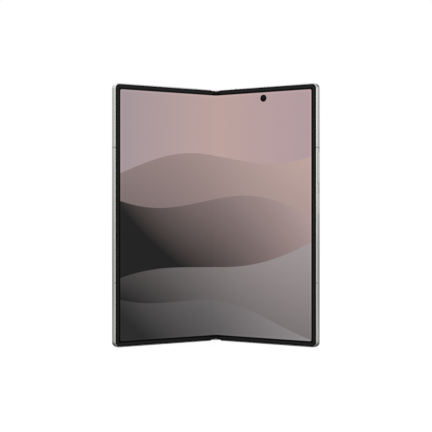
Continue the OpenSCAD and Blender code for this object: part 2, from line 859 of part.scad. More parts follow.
// The frame of one half, less what differs between left and right
module half_frame(side) {
  difference() {
    union() {
      sweep_edge(lip_gap) wall_profile();
      block(hinge_wall_x - 0.5, half_w - wall_t + eps, deck_y, deck_back,
        wall_t - eps, body_h - wall_t + eps);
      difference() {
        block(lip_gap, hinge_wall_x, deck_y, body_t, wall_t - eps, body_h - wall_t + eps);
        block(glass_from_fold - eps, hinge_wall_x + 1, glass_y, body_t + 1,
          glass_inset, body_h - glass_inset);
      }
    }
    spine_pocket();
    lip_edge();
    hinge_pockets(side);
    band_gaps();
  }
}

// Room for the spine, with rounded edges at both ends
module spine_pocket() {
  fold_pin(axis_out, axis_deep, pocket_r, -1, body_h + 1);
  block(-1, axis_out, 0, axis_deep + pocket_r, -1, body_h + 1);
  for (end = [0, 1]) translate([axis_out, axis_deep, end * body_h]) mirror([0, 0, end])
    rotate_extrude() difference() {
      translate([pocket_r - 0.1, -1]) square([pocket_edge_r + 0.1, 1 + pocket_edge_r]);
      translate([pocket_r + pocket_edge_r, pocket_edge_r]) circle(pocket_edge_r);
    }
}

// Chamfer along the rear edge of the lip, beside the fold
module lip_edge() {
  c = edge_chamfer * 0.7;
  translate([0, 0, -1]) linear_extrude(body_h + 2)
    polygon([[lip_gap - 1, body_t - c - 1], [lip_gap + c + 1, body_t + 1], [lip_gap - 1, body_t + 1]]);
}

module antenna_bands() {
  intersection() {
    sweep_edge(lip_gap) wall_profile();
    band_gaps();
  }
}

module bezel() {
  difference() {
    sweep_edge(bezel_end_x) bezel_profile();
    block(-1, fold_clear_x, 0, deck_y + 1, -1, body_h + 1);
    bezel_end_cut();
  }
}

// The bezel's ends at the fold are rounded off where the two halves meet
module bezel_end_cut() {
  for (z = [0, body_h]) mirror([0, 0, z > 0 ? 1 : 0]) translate([0, 0, z > 0 ? -body_h : 0])
    translate([bezel_end_x - 0.5, 1, rim_w - 0.2]) rotate([90, 0, 0]) linear_extrude(2)
      polygon([[0, 0], [2.8, 0], [2.8, 0.2], [1.7, 0.32], [0.5, 0.75], [0, 0.75]]);
}

// A sheet inside the bezel, square beside the fold and round at the outer corners
module inner_sheet(x0, y0, y1) {
  r = corner_r - panel_inset;
  x1 = half_w - panel_inset;
  sheet(y0, y1) {
    round_rect(x0, x1, panel_inset, body_h - panel_inset, r);
    translate([x0, panel_inset]) square([x1 - x0 - r, body_h - 2 * panel_inset]);
  }
}

module panel() {
  inner_sheet(bend_w, 0, panel_t);
}

module support_plate() {
  inner_sheet(fold_clear_x, panel_t, deck_y);
}

// Outline of the glass on the back of a half, square beside the fold
module glass_outline() {
  r = corner_r - glass_inset;
  x0 = glass_from_fold + glass_gap;
  x1 = half_w - glass_inset - glass_gap;
  z0 = glass_inset + glass_gap;
  z1 = body_h - glass_inset - glass_gap;
  round_rect(x0, x1, z0, z1, r);
  translate([x0, z0]) square([x1 - x0 - r, z1 - z0]);
}

// A row of speaker slots through an edge
module grille(x, z0, z1) {
  for (i = [0:grille_slots - 1])
    edge_slot(x + (i - (grille_slots - 1) / 2) * grille_pitch, grille_y, slot_l, grille_w, z0, z1);
}

module battery(top_bay) {
  round_plate(in_x0 + board_inset, in_x1, deck_back, bay_back - inner_gap,
    low_bay + bay_gap, body_h - top_bay - bay_gap, battery_corner);
}

// The board that fills a half's upper bay
module upper_board(top_bay) {
  block(in_x0 + board_inset, in_x1, deck_back, deck_back + board_t,
    body_h - top_bay + bay_gap, in_z1 - board_end_gap);
}

// ---------- left half ----------

// The space that the card part of the tray fills, with a gap about it
module card_room(gap, z0, z1) {
  block(tray_x - card_w / 2 - gap, tray_x + card_w / 2 + gap, tray_y - card_t / 2 - gap,
    tray_y + card_t / 2 + gap, z0, z1);
}

module left_frame() {
  color("lightgray") on_left() difference() {
    half_frame(-1);
    // Card tray: door, card bay through the wall, and the hole for the eject pin
    edge_slot(tray_x, tray_y, tray_w + 2 * key_gap, tray_t + 2 * key_gap, -1, door_t + 0.05);
    card_room(key_gap, -1, wall_t + 1);
    fold_pin(tray_x + tray_w / 2 + eject_gap, tray_y, eject_r, -1, wall_t + 1);
    // Earpiece slots and microphone in the top edge
    grille(earpiece_x, body_h - wall_t - 1, body_h + 1);
    fold_pin(earpiece_x - earpiece_mic_side, grille_y, mic_r, body_h - wall_t - 1, body_h + 1);
  }
}

module left_antenna_bands() {
  color("gray") on_left() antenna_bands();
}

module rotating_brackets_left() {
  color("slategray") on_left() rotating_brackets(-1);
}

module left_bracket_screws() {
  color("dimgray") on_left() bracket_screws(-1);
}

module left_support_plate() {
  color("dimgray") on_left() support_plate();
}

module display_left() {
  color("rosybrown") on_left() panel();
}

module bezel_left() {
  color("black") on_left() bezel();
}

module cover_glass() {
  color("darkslategray") on_left() difference() {
    sheet(glass_y, body_t) glass_outline();
    depth_pin(cover_cam_x, cover_cam_z, cover_cam_d / 2 + 2 * fit, 0, body_t + 1);
  }
}

module cover_display() {
  inset = glass_inset + cover_panel_inset;
  color("midnightblue") on_left() difference() {
    round_plate(cover_panel_from_fold, half_w - inset, bay_back, glass_y,
      inset, body_h - inset, corner_r - cover_panel_inset);
    depth_pin(cover_cam_x, cover_cam_z, cover_cam_d / 2 + bay_gap, 0, body_t + 1);
  }
}

module cover_camera() {
  color("black") on_left() {
    depth_pin(cover_cam_x, cover_cam_z, cover_cam_d / 2, bay_back - 4 * barrel_gap, body_t - 0.05);
    round_plate(cover_cam_x - cover_cam_body, cover_cam_x + cover_cam_body, deck_back, bay_back - barrel_gap,
      cover_cam_z - cover_cam_body, cover_cam_z + cover_cam_body, can_corner);
  }
}

module left_battery() {
  color("dimgray") on_left() battery(left_top_bay);
}

module left_upper_board() {
  camera_w = cover_cam_body + bay_gap;
  color("darkgreen") on_left() difference() {
    upper_board(left_top_bay);
    block(cover_cam_x - camera_w, cover_cam_x + camera_w, 0, past, cover_cam_z - camera_w, body_h);
    block(earpiece_x - earpiece_w / 2 - bay_gap, half_w, 0, past, in_z1 - earpiece_l - bay_gap, body_h);
  }
}

module earpiece_speaker() {
  color("black") on_left() round_plate(earpiece_x - earpiece_w / 2, earpiece_x + earpiece_w / 2, deck_back,
    bay_back - inner_gap, in_z1 - earpiece_l + bay_gap, body_h - wall_t, case_corner);
}

module left_lower_board() {
  reader_w = card_w / 2 + key_gap + reader_wall + 3 * bay_gap;
  color("darkgreen") on_left() difference() {
    block(in_x0 + board_inset, in_x1, deck_back, deck_back + board_t,
      in_z0 + board_end_gap, low_bay - bay_gap);
    block(tray_x - reader_w, tray_x + reader_w, 0, past, 0, wall_t + reader_l + bay_gap);
  }
}

// The metal cage that the card tray slides into
module card_reader() {
  color("silver") on_left() difference() {
    block(tray_x - card_w / 2 - key_gap - reader_wall, tray_x + card_w / 2 + key_gap + reader_wall, deck_back,
      tray_y + card_t / 2 + key_gap + reader_wall, wall_t, wall_t + reader_l);
    card_room(key_gap, 0, wall_t + reader_l - reader_wall);
  }
}

// Card tray with two card pockets cut through it
module card_tray() {
  color("lightgray") on_left() difference() {
    union() {
      edge_slot(tray_x, tray_y, tray_w, tray_t, eps, door_t);
      card_room(0, door_t / 2, tray_l);
    }
    round_plate(tray_x - card_w / 2 + card_edge, tray_x + card_w / 2 - card_edge,
      0, tray_y + card_t / 2 - card_floor, card_z, tray_l - 4 * card_edge, can_corner);
    round_plate(tray_x - card_w / 2 + contact_edge, tray_x + card_w / 2 - contact_edge,
      0, past, card_z + 1, tray_l - 3 * contact_edge, can_corner);
  }
}

// ---------- right half ----------

// Room in the side wall for a key, its end flanges and its switch
module key_room(z, l) {
  side_slot(z, key_y, l + 2 * key_gap, key_w + 2 * key_gap, half_w - wall_t - 1, half_w + 1);
  key_flanges(z, l, key_gap, switch_u + switch_t + 0.05, key_shelf);
}

// A bar longer than the key that stops it from falling out, between two depths in from the edge
module key_flanges(z, l, grow, u0, u1) {
  h = l / 2 + key_flange + grow;
  w = key_w / 2 + grow;
  block(half_w - u0, half_w - u1, key_y - w, key_y + w, z - h, z + h);
}

module port_room(grow, z0, z1) {
  edge_slot(port_x, port_y, port_w + 2 * (port_shell + grow), port_t + 2 * (port_shell + grow), z0, z1);
}

module right_frame() {
  color("lightgray") on_right() difference() {
    half_frame(1);
    key_room(volume_z, volume_l);
    key_room(side_key_z, side_key_l);
    // Charging port: the opening in the edge, and the bed that its shell lies in
    edge_slot(port_x, port_y, port_w, port_t, -1, wall_t + 1);
    port_room(0.03, wall_t - 0.4, wall_t + port_l + 0.3);
    // Loudspeaker slots and microphones
    grille(speaker_x, -1, wall_t + 1);
    fold_pin(port_x - port_mic_side, grille_y, mic_r, -1, wall_t + 1);
    fold_pin(selfie_x + selfie_mic_side, grille_y, mic_r, body_h - wall_t - 1, body_h + 1);
    depth_pin(selfie_x, selfie_z, selfie_d / 2 + barrel_gap, 0, deck_back + 1);
  }
}

module right_antenna_bands() {
  color("gray") on_right() antenna_bands();
}

module rotating_brackets_right() {
  color("slategray") on_right() rotating_brackets(1);
}

module right_bracket_screws() {
  color("dimgray") on_right() bracket_screws(1);
}

module right_support_plate() {
  color("dimgray") on_right() difference() {
    support_plate();
    depth_pin(selfie_x, selfie_z, selfie_d / 2 + barrel_gap, -1, past);
  }
}

module display_right() {
  color("rosybrown") on_right() difference() {
    panel();
    depth_pin(selfie_x, selfie_z, selfie_d / 2, -1, past);
  }
}

module bezel_right() {
  color("black") on_right() bezel();
}

module back_glass() {
  color("gainsboro") on_right() difference() {
    sheet(glass_y, body_t) glass_outline();
    island_pill(flange_inset - glass_gap, 0, body_t + 1);
    depth_pin(flash_x, flash_z, flash_d / 2 + 2 * fit, 0, body_t + 1);
  }
}

// The island's outline, drawn in by an inset, between two depths
module island_pill(inset, y0, y1) {
  round_plate(island_x - island_w / 2 + inset, island_x + island_w / 2 - inset, y0, y1,
    island_z - island_l / 2 + inset, island_z + island_l / 2 - inset, island_r - inset - pill_flat);
}

// Camera island: a raised pill with a flange through the glass and a seat for each camera
module camera_island() {
  color("silver") on_right() difference() {
    union() {
      island_pill(0, body_t, body_t + island_rise - island_step);
      island_pill(island_step, body_t + island_rise - island_step - eps, body_t + island_rise);
      island_pill(flange_inset, glass_y, body_t + eps);
    }
    for (i = [0:camera_count - 1])
      depth_pin(island_x, lens_z0 + i * lens_pitch, lens_d / 2 + window_gap, 0, body_t + island_rise + 1);
  }
}

module lens_rings() {
  color("dimgray") on_right() for (i = [0:camera_count - 1]) difference() {
    union() {
      depth_pin(island_x, lens_z0 + i * lens_pitch, lens_ring_d / 2, lens_ring_y,
        lens_ring_y + lens_rise - ring_chamfer);
      translate([island_x, lens_ring_y + lens_rise - ring_chamfer, lens_z0 + i * lens_pitch])
        rotate([-90, 0, 0])
          cylinder(r1 = lens_ring_d / 2, r2 = lens_ring_d / 2 - ring_chamfer, h = ring_chamfer);
    }
    depth_pin(island_x, lens_z0 + i * lens_pitch, lens_d / 2 + window_gap, 0, lens_ring_y + past);
  }
}

module lens_windows() {
  front = lens_ring_y + lens_rise - window_sink;
  color("midnightblue") on_right() for (i = [0:camera_count - 1])
    depth_pin(island_x, lens_z0 + i * lens_pitch, lens_d / 2, front - window_t, front);
}

// Each camera: a square body on the deck and a barrel that reaches up to its window
module camera_modules() {
  w = camera_body_w / 2;
  color("black") on_right() for (i = [0:camera_count - 1]) {
    z = lens_z0 + i * lens_pitch;
    round_plate(island_x - w, island_x + w, deck_back, glass_y - barrel_gap, z - w, z + w, case_corner);
    depth_pin(island_x, z, lens_d / 2 - 3 * barrel_gap, glass_y - 2 * barrel_gap,
      lens_ring_y + lens_rise - window_sink - window_t);
  }
}

module flash_window() {
  color("lightyellow") on_right() depth_pin(flash_x, flash_z, flash_d / 2, deck_back + board_t, body_t);
}

module inner_camera() {
  w = selfie_body_w / 2;
  color("black") on_right() {
    depth_pin(selfie_x, selfie_z, selfie_d / 2 - eps, eps, deck_back);
    round_plate(selfie_x - w, selfie_x + w, deck_back, bay_back, selfie_z - w, selfie_z + w, can_corner);
  }
}

module right_battery() {
  color("dimgray") on_right() battery(right_top_bay);
}

// The main board fills the upper bay beside the cameras
module main_board() {
  camera_w = camera_body_w / 2 + bay_gap;
  selfie_w = selfie_body_w / 2 + bay_gap;
  color("darkgreen") on_right() difference() {
    upper_board(right_top_bay);
    block(island_x - camera_w, half_w, 0, past, lens_z0 - camera_w, body_h);
    block(selfie_x - selfie_w, selfie_x + selfie_w, 0, past, selfie_z - selfie_w, body_h);
  }
}

module board_shields() {
  x0 = in_x0 + board_inset + shield_side;
  x1 = flash_x - flash_d / 2 - shield_split;
  z0 = body_h - right_top_bay + shield_side;
  z1 = selfie_z - selfie_body_w / 2 - shield_side;
  mid = (z0 + z1) / 2;
  y0 = deck_back + board_t;
  color("silver") on_right() {
    round_plate(x0, x1, y0, y0 + shield_h, z0, mid - shield_split / 2, can_corner);
    round_plate(x0, x1, y0, y0 + shield_h, mid + shield_split / 2, z1, can_corner);
  }
}

module port_board() {
  color("darkgreen") on_right() difference() {
    block(port_x - port_board_w / 2, speaker_x - speaker_w / 2 - bay_gap, deck_back, deck_back + board_t,
      in_z0 + board_end_gap, low_bay - bay_gap);
    port_room(0.05, 0, wall_t + port_l + board_end_gap);
  }
}

// The port's shell: a drawn metal tube with a closed rear end
module charging_port() {
  color("silver") on_right() difference() {
    port_room(0, wall_t - 0.4, wall_t + port_l);
    edge_slot(port_x, port_y, port_w, port_t, 0, wall_t + port_l - 0.4);
  }
}

module port_tongue() {
  color("dimgray") on_right() round_plate(port_x - tongue_w / 2, port_x + tongue_w / 2, port_y - tongue_t / 2,
    port_y + tongue_t / 2, wall_t + 0.8, wall_t + port_l - 0.4, can_corner);
}

module loudspeaker() {
  color("black") on_right() round_plate(speaker_x - speaker_w / 2, speaker_x + speaker_w / 2, deck_back,
    bay_back - inner_gap, wall_t, wall_t + speaker_l, case_corner);
}

module vibration_motor() {
  x0 = in_x0 + board_inset;
  z0 = in_z0 + board_inset;
  color("silver") on_right()
    round_plate(x0, x0 + motor_w, deck_back, bay_back - inner_gap, z0, z0 + motor_l, case_corner);
}

module charging_coil() {
  color("peru") on_right() difference() {
    depth_pin((in_x0 + in_x1) / 2, coil_z, coil_d / 2, bay_back - inner_gap, glass_y);
    depth_pin((in_x0 + in_x1) / 2, coil_z, coil_d / 4, 0, past);
  }
}

// Dome switches behind the keys, on a strip fixed to the deck
module key_switches() {
  x0 = half_w - switch_u - switch_t;
  color("gold") on_right() {
    for (k = [[volume_z, volume_l], [side_key_z, side_key_l]])
      block(x0, x0 + switch_t, deck_back, key_y + key_w / 2, k[0] - k[1] / 2, k[0] + k[1] / 2);
    for (z = [volume_z - volume_l / 3, volume_z + volume_l / 3, side_key_z])
      translate([x0 + switch_t, key_y + 0.15, z]) rotate([0, 90, 0]) cylinder(r = dome_r, h = dome_t);
  }
}

module key(z, l, proud) {
  side_slot(z, key_y, l, key_w, half_w - key_in, half_w + proud - 0.1);
  side_slot(z, key_y, l - 0.2, key_w - 0.2, half_w, half_w + proud);
  key_flanges(z, l, 0, key_in, key_in - key_flange_t);
}

// The volume key rocks on a round rib that lies against the switch strip
module volume_key() {
  color("silver") on_right() {
    key(volume_z, volume_l, key_proud);
    depth_pin(half_w - key_in, volume_z, key_pivot_r, key_y - key_w / 2, key_y + key_w / 2);
  }
}

module side_key() {
  color("silver") on_right() key(side_key_z, side_key_l, side_key_proud);
}

// ---------- nodes ----------

spine_cover();
spine_end_caps();
hinge_bases();
base_screws();
friction_springs();
friction_washers();
display_fold();
fold_bezel();
hinge_flex_cables();
idler_gears_left();
idler_gears_right();
swing_arms_left();
gear_shafts_left();
swing_arms_right();
gear_shafts_right();
left_frame();
left_antenna_bands();
rotating_brackets_left();
left_bracket_screws();
left_support_plate();
display_left();
bezel_left();
cover_glass();
cover_display();
cover_camera();
left_battery();
left_upper_board();
left_lower_board();
card_reader();
earpiece_speaker();
card_tray();
right_frame();
right_antenna_bands();
rotating_brackets_right();
right_bracket_screws();
right_support_plate();
display_right();
bezel_right();
back_glass();
camera_island();
lens_rings();
lens_windows();
camera_modules();
flash_window();
inner_camera();
right_battery();
main_board();
board_shields();
port_board();
charging_port();
port_tongue();
loudspeaker();
vibration_motor();
charging_coil();
key_switches();
volume_key();
side_key();
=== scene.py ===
"""The looks of a book-style folding phone, laid out as an add-on and run as a script.

A half is drawn flat, in metres: x from the fold plane outward, y from the screen plane to the back, and z up
from the lower edge. half_place() then turns it about its fold axis to where it stands.
"""

import json
import math

import bmesh
import bpy
from mathutils import Matrix, Vector


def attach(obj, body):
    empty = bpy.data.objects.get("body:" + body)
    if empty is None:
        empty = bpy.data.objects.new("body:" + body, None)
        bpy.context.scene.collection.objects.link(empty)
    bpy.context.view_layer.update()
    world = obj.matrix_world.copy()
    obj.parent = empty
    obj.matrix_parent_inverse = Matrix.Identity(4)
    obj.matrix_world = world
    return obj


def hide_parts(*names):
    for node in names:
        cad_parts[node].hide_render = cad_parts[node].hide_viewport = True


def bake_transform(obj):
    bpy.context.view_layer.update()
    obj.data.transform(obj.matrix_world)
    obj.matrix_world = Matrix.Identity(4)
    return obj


bl_info = {
    "name": "Folding Phone",
    "version": (1, 0, 0),
    "blender": (4, 5, 0),
    "location": "3D View > Sidebar > Phone",
    "description": "Dresses a book-style folding phone and sets its stage",
    "category": "Object",
}

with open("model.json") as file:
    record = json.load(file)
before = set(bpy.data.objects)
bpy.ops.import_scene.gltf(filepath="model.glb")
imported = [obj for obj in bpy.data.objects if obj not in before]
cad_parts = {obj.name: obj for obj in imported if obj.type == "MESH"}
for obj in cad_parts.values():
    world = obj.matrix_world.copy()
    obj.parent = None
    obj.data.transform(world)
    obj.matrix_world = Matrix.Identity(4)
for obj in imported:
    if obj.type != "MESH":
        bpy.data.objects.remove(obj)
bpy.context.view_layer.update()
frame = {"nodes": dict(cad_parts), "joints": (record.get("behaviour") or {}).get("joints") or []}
NODES = frame["nodes"]
JOINTS = {joint["name"]: joint for joint in frame["joints"]}

MM = 0.001
# The right fold axis, where it stands, and the turn of each half from flat at rest
AXIS_X, AXIS_Y = JOINTS["right_fold"]["pos_m"][:2]
TURN = -math.radians(JOINTS["right_fold"]["range_deg"][0])
LEFT, RIGHT = -1, 1
HALF_BODY = {LEFT: "left_half", RIGHT: "right_half"}
SIDE_NAME = {LEFT: "left", RIGHT: "right"}


# ---------- what a user would change ----------


def length(name, description, default):
    """A length setting, in metres."""
    return bpy.props.FloatProperty(name=name, description=description, default=default, min=0.0, unit="LENGTH")


def colour(name, description, default):
    """A colour setting, whose default is given in sRGB hex."""
    return bpy.props.FloatVectorProperty(
        name=name, description=description, default=linear(default), size=4, min=0.0, max=1.0, subtype="COLOR"
    )


def linear(code):
    """An sRGB hex colour as linear red, green, blue and alpha, by the curve of the sRGB standard."""
    channels = [int(code[i : i + 2], 16) / 255 for i in (1, 3, 5)]
    return tuple(c / 12.92 if c <= 0.04045 else ((c + 0.055) / 1.055) ** 2.4 for c in channels) + (1.0,)


class PhoneSizes(bpy.types.PropertyGroup):
    """Sizes of the phone that its looks are drawn from."""

    half_width: length("Half width", "From the fold plane to the outer edge", 71.6 * MM)
    height: length("Height", "Height of the body", 158.4 * MM)
    thickness: length("Thickness", "Thickness of one half", 4.2 * MM)
    corner: length("Corner radius", "Radius of the outer corners", 3.2 * MM)
    axis_depth: length("Fold axis depth", "Depth of the fold axes behind the screen plane", 1.0 * MM)
    rim: length("Rim width", "Bare metal in front of the bezel", 0.55 * MM)
    bezel_reach: length("Bezel reach", "From the edge to the inside of the soft bezel", 2.6 * MM)
    bezel_rise: length("Bezel rise", "Height of the bezel in front of the panel", 0.2 * MM)
    bezel_step: length("Bezel step", "Drop from the bezel's outer bead to its inner band", 0.08 * MM)
    panel_inset: length("Panel inset", "From the edge to the folding panel", 1.95 * MM)
    panel_depth: length("Panel thickness", "Thickness of the folding panel", 0.25 * MM)
    lit_side: length("Dark side border", "From the outer edge to the lit picture", 3.74 * MM)
    lit_end: length("Dark end border", "From the top or bottom edge to the lit picture", 3.68 * MM)
    lit_corner: length("Picture corner", "Corner radius of the lit picture", 1.0 * MM)
    bend: length("Bend half width", "Half width of the stretch that bends", 3.2 * MM)
    crease: length("Crease", "Depth of the crease at the fold plane", 0.2 * MM)
    spine_radius: length("Spine radius", "Outer radius of the spine about each fold axis", 2.45 * MM)
    spine_wall: length("Spine wall", "Wall of the spine cover", 0.4 * MM)


class PhoneColours(bpy.types.PropertyGroup):
    """Colours of the finishes."""

    alloy: colour("Alloy", "Blasted and anodised frame alloy", "#D9DAD8")
    bezel: colour("Bezel", "Soft black bezel", "#181716")
    back: colour("Back glass", "Frosted back glass", "#C4C6C8")
    band: colour("Antenna band", "Plastic in the antenna gaps", "#9FA09E")
    picture_left: colour("Picture, upper left", "Screen picture: upper left", "#A3949A")
    picture_right: colour("Picture, upper right", "Screen picture: upper right", "#BDA29D")


def sizes():
    """The sizes, as they are set now."""
    return bpy.context.scene.phone_sizes


def colours():
    """The colours, as they are set now."""
    return bpy.context.scene.phone_colours


# ---------- placing and building meshes ----------


def half_place(side):
    """The matrix from the flat drawing of a half to where it stands."""
    depth = sizes().axis_depth
    place = (
        Matrix.Translation((AXIS_X, AXIS_Y, 0))
        @ Matrix.Rotation(-TURN, 4, "Z")
        @ Matrix.Translation((-AXIS_X, -depth, 0))
    )
    return place if side == RIGHT else Matrix.Scale(-1, 4, (1, 0, 0)) @ place


def spine_place():
    """The matrix from a drawing on the fold plane to the standing spine."""
    return Matrix.Translation((0, AXIS_Y - sizes().axis_depth, 0))


def loft(rings, closed=False):
    """Joins rings of points, all of one count, into a tube with capped ends, or into a closed loop."""
    mesh = bmesh.new()
    rows = [[mesh.verts.new(point) for point in ring] for ring in rings]
    following = rows[1:] + rows[:1] if closed else rows[1:]
    for first, second in zip(rows, following):
        for i in range(len(first)):
            j = (i + 1) % len(first)
            mesh.faces.new((first[i], first[j], second[j], second[i]))
    if not closed:
        mesh.faces.new(rows[0])
        mesh.faces.new(rows[-1])
    mesh.verts.index_update()
    return mesh


# Steps round a turned piece
TURNED_STEPS = 96


def circle():
    """The cosine and sine of each step round a turned piece."""
    angles = [2 * math.pi * step / TURNED_STEPS for step in range(TURNED_STEPS)]
    return [(math.cos(angle), math.sin(angle)) for angle in angles]


def lathe(centre_x, centre_z, profile):
    """Turns a profile of (radius, depth) points about an axis along the depth, from the axis out and back to it."""
    mesh = bmesh.new()
    ends = [mesh.verts.new((centre_x, profile[k][1], centre_z)) for k in (0, -1)]
    rows = []
    for c, s in circle():
        rows.append([mesh.verts.new((centre_x + r * c, y, centre_z + r * s)) for r, y in profile[1:-1]])
    for first, second in zip(rows, rows[1:] + rows[:1]):
        mesh.faces.new((ends[0], first[0], second[0]))
        mesh.faces.new((ends[1], second[-1], first[-1]))
        for i in range(len(first) - 1):
            mesh.faces.new((first[i], first[i + 1], second[i + 1], second[i]))
    return mesh


def ring_lathe(centre_x, centre_z, profile):
    """Turns a closed profile of (radius, depth) points about an axis along the depth."""
    rings = [[(centre_x + r * c, y, centre_z + r * s) for r, y in profile] for c, s in circle()]
    return loft(rings, closed=True)


def arc(centre, radius, start, end, steps):
    """Points on an arc, from start to end in degrees."""
    angles = [math.radians(start + (end - start) * k / steps) for k in range(steps + 1)]
    return [(centre[0] + radius * math.cos(a), centre[1] + radius * math.sin(a)) for a in angles]


# Points nearer than this are one point
WELD = 0.001 * MM
# Faces that turn by less than this, in degrees, are one flat face
FLAT_TURN = 0.5


def copy_of(node):
    """A CAD node's mesh, with its loose triangles joined and its flat faces made whole."""
    mesh = bmesh.new()
    mesh.from_mesh(NODES[node].data)
    bmesh.ops.remove_doubles(mesh, verts=mesh.verts, dist=WELD)
    bmesh.ops.dissolve_limit(mesh, angle_limit=math.radians(FLAT_TURN), verts=mesh.verts, edges=mesh.edges)
    return mesh


def flat_points(vertices, side):
    """Where the vertices of a half lie in its flat drawing."""
    to_flat = half_place(side).inverted()
    return [to_flat @ vertex.co for vertex in vertices]


def box_of(points):
    """The lowest and highest corners of a list of points."""
    return tuple(Vector([pick(point[axis] for point in points) for axis in range(3)]) for pick in (min, max))


def flat_box(node, side):
    """A node's lowest and highest corners in the flat drawing of its half."""
    return box_of(flat_points(NODES[node].data.vertices, side))


def separate_boxes(node, place):
    """The boxes of a node's separate solids, as (lowest, highest) corners in a drawing, in order of height."""
    mesh = copy_of(node)
    mesh.transform(place.inverted())
    left, boxes = set(mesh.verts), []
    while left:
        found = [left.pop()]
        for vertex in found:
            for edge in vertex.link_edges:
                other = edge.other_vert(vertex)
                if other in left:
                    left.remove(other)
                    found.append(other)
        boxes.append(box_of([vertex.co for vertex in found]))
    mesh.free()
    return sorted(boxes, key=lambda box: (round(box[0].z / MM, 1), box[0].x))


def soften(mesh, width, angle=30, segments=2):
    """Rounds the edges that are sharper than an angle."""
    sharp = [edge for edge in mesh.edges if edge.is_manifold and edge.calc_face_angle(0) > math.radians(angle)]
    bmesh.ops.bevel(
        mesh, geom=sharp, offset=width, segments=segments, profile=0.5, affect="EDGES", clamp_overlap=False
    )


# A broad face has at least this area, and this share of a square with half its perimeter as its side
BROAD_AREA = 8 * MM**2
BROAD_SHARE = 0.003


def is_broad(face):
    """Whether a face is a broad flat one, which smooth shading would tint from its rim."""
    area = face.calc_area()
    return area > BROAD_AREA and area > BROAD_SHARE * (face.calc_perimeter() / 2) ** 2


def keeps_smooth(edge, angle):
    """Whether an edge is shaded smooth: it is blunter than the angle, and doesn't border a broad flat face."""
    if not edge.is_manifold:
        return False
    turn = math.degrees(edge.calc_face_angle(0))
    return turn < angle and (turn < FLAT_TURN or not any(is_broad(face) for face in edge.link_faces))


def piece(
    name, mesh, body, slot, *materials, place=None, stands_for=(), uvs=None, sort=None, angle=32, turn_out=True
):
    """Finishes a mesh as a piece of the phone that rides on a body, or on none, as the bend's pieces and the cables
    do.

    place moves it from its drawing, uvs holds one UV pair for each vertex, and sort gives a face's material
    index from the face. Edges that turn by less than the angle, in degrees, are shaded smooth. turn_out is
    False for a CAD solid's copy, whose faces point outwards already.
    """
    if uvs:
        layer = mesh.loops.layers.uv.new("UVMap")
        mesh.verts.index_update()
        for face in mesh.faces:
            for corner in face.loops:
                corner[layer].uv = uvs[corner.vert.index]
    if turn_out:
        bmesh.ops.recalc_face_normals(mesh, faces=mesh.faces)
    mesh.normal_update()
    if sort:
        for face in mesh.faces:
            face.material_index = sort(face)
    if place:
        mesh.transform(place)
        if place.determinant() < 0:
            bmesh.ops.reverse_faces(mesh, faces=mesh.faces)
    for face in mesh.faces:
        face.smooth = True
    for edge in mesh.edges:
        edge.smooth = keeps_smooth(edge, angle)
    made = shown_object(name, mesh)
    for material in materials:
        made.data.materials.append(material)
    return settle(made, body, stands_for)


def shown_object(name, mesh):
    """An object in the scene with a mesh of its own."""
    data = bpy.data.meshes.new(name)
    mesh.to_mesh(data)
    mesh.free()
    made = bpy.data.objects.new(name, data)
    bpy.context.scene.collection.objects.link(made)
    return made


def settle(made, body, stands_for=()):
    """Puts a finished piece on its body, and hides the CAD nodes it stands for."""
    if body:
        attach(made, body)
    if stands_for:
        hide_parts(*stands_for)
    return made


def dress(node, *materials):
    """Gives a CAD node its finish."""
    slots = NODES[node].data.materials
    slots.clear()
    for material in materials:
        slots.append(material)


def rounded_outline(x0, x1, z0, z1, radius, steps):
    """A rectangle with round corners, as (x, z, inward x, inward z) stations that run anticlockwise."""
    stations = []
    corners = ((x1, z1, 0), (x0, z1, 90), (x0, z0, 180), (x1, z0, 270))
    for x, z, start in corners:
        cx = x - radius if x == x1 else x + radius
        cz = z - radius if z == z1 else z + radius
        for k in range(steps + 1):
            a = math.radians(start + 90 * k / steps)
            stations.append((cx + radius * math.cos(a), cz + radius * math.sin(a), -math.cos(a), -math.sin(a)))
    return stations


def pillow(stations, profile):
    """A closed plate: a profile point is (inset from the outline, depth), from one flat face to the other."""
    return loft([[(x + ix * inset, y, z + iz * inset) for x, z, ix, iz in stations] for inset, y in profile])


# ---------- Geometry Nodes ----------


def growth(name, **inputs):
    """A Geometry Nodes tree with named inputs, each a length in metres or a count, and its first and last node."""
    tree = bpy.data.node_groups.new(name, "GeometryNodeTree")
    for end in ("INPUT", "OUTPUT"):
        tree.interface.new_socket("Geometry", in_out=end, socket_type="NodeSocketGeometry")
    for label, value in inputs.items():
        kind = "NodeSocketInt" if isinstance(value, int) else "NodeSocketFloat"
        tree.interface.new_socket(label, in_out="INPUT", socket_type=kind).default_value = value
    return tree, add(tree, "NodeGroupInput").outputs, add(tree, "NodeGroupOutput").inputs


def finish_growth(tree, geometry, result, material):
    """Ends a tree: its instances are made real and get their material."""
    real = add(tree, "GeometryNodeRealizeInstances", {0: geometry})
    dressed = add(tree, "GeometryNodeSetMaterial", {"Geometry": real.outputs[0], "Material": material})
    tree.links.new(dressed.outputs[0], result[0])


def grow(name, tree, points, place, **values):
    """Runs a tree on a row of points, and leaves its result as a plain mesh, moved to its place."""
    host = bmesh.new()
    for point in points:
        host.verts.new(point)
    made = shown_object(name, host)
    modifier = made.modifiers.new("growth", "NODES")
    modifier.node_group = tree
    for item in tree.interface.items_tree:
        if item.in_out == "INPUT" and item.name in values:
            modifier[item.identifier] = values[item.name]
    data = bpy.data.meshes.new_from_object(made.evaluated_get(bpy.context.evaluated_depsgraph_get()))
    made.modifiers.clear()
    made.data = data
    data.transform(place)
    if place.determinant() < 0:
        data.flip_normals()
    return made


# ---------- finishes ----------


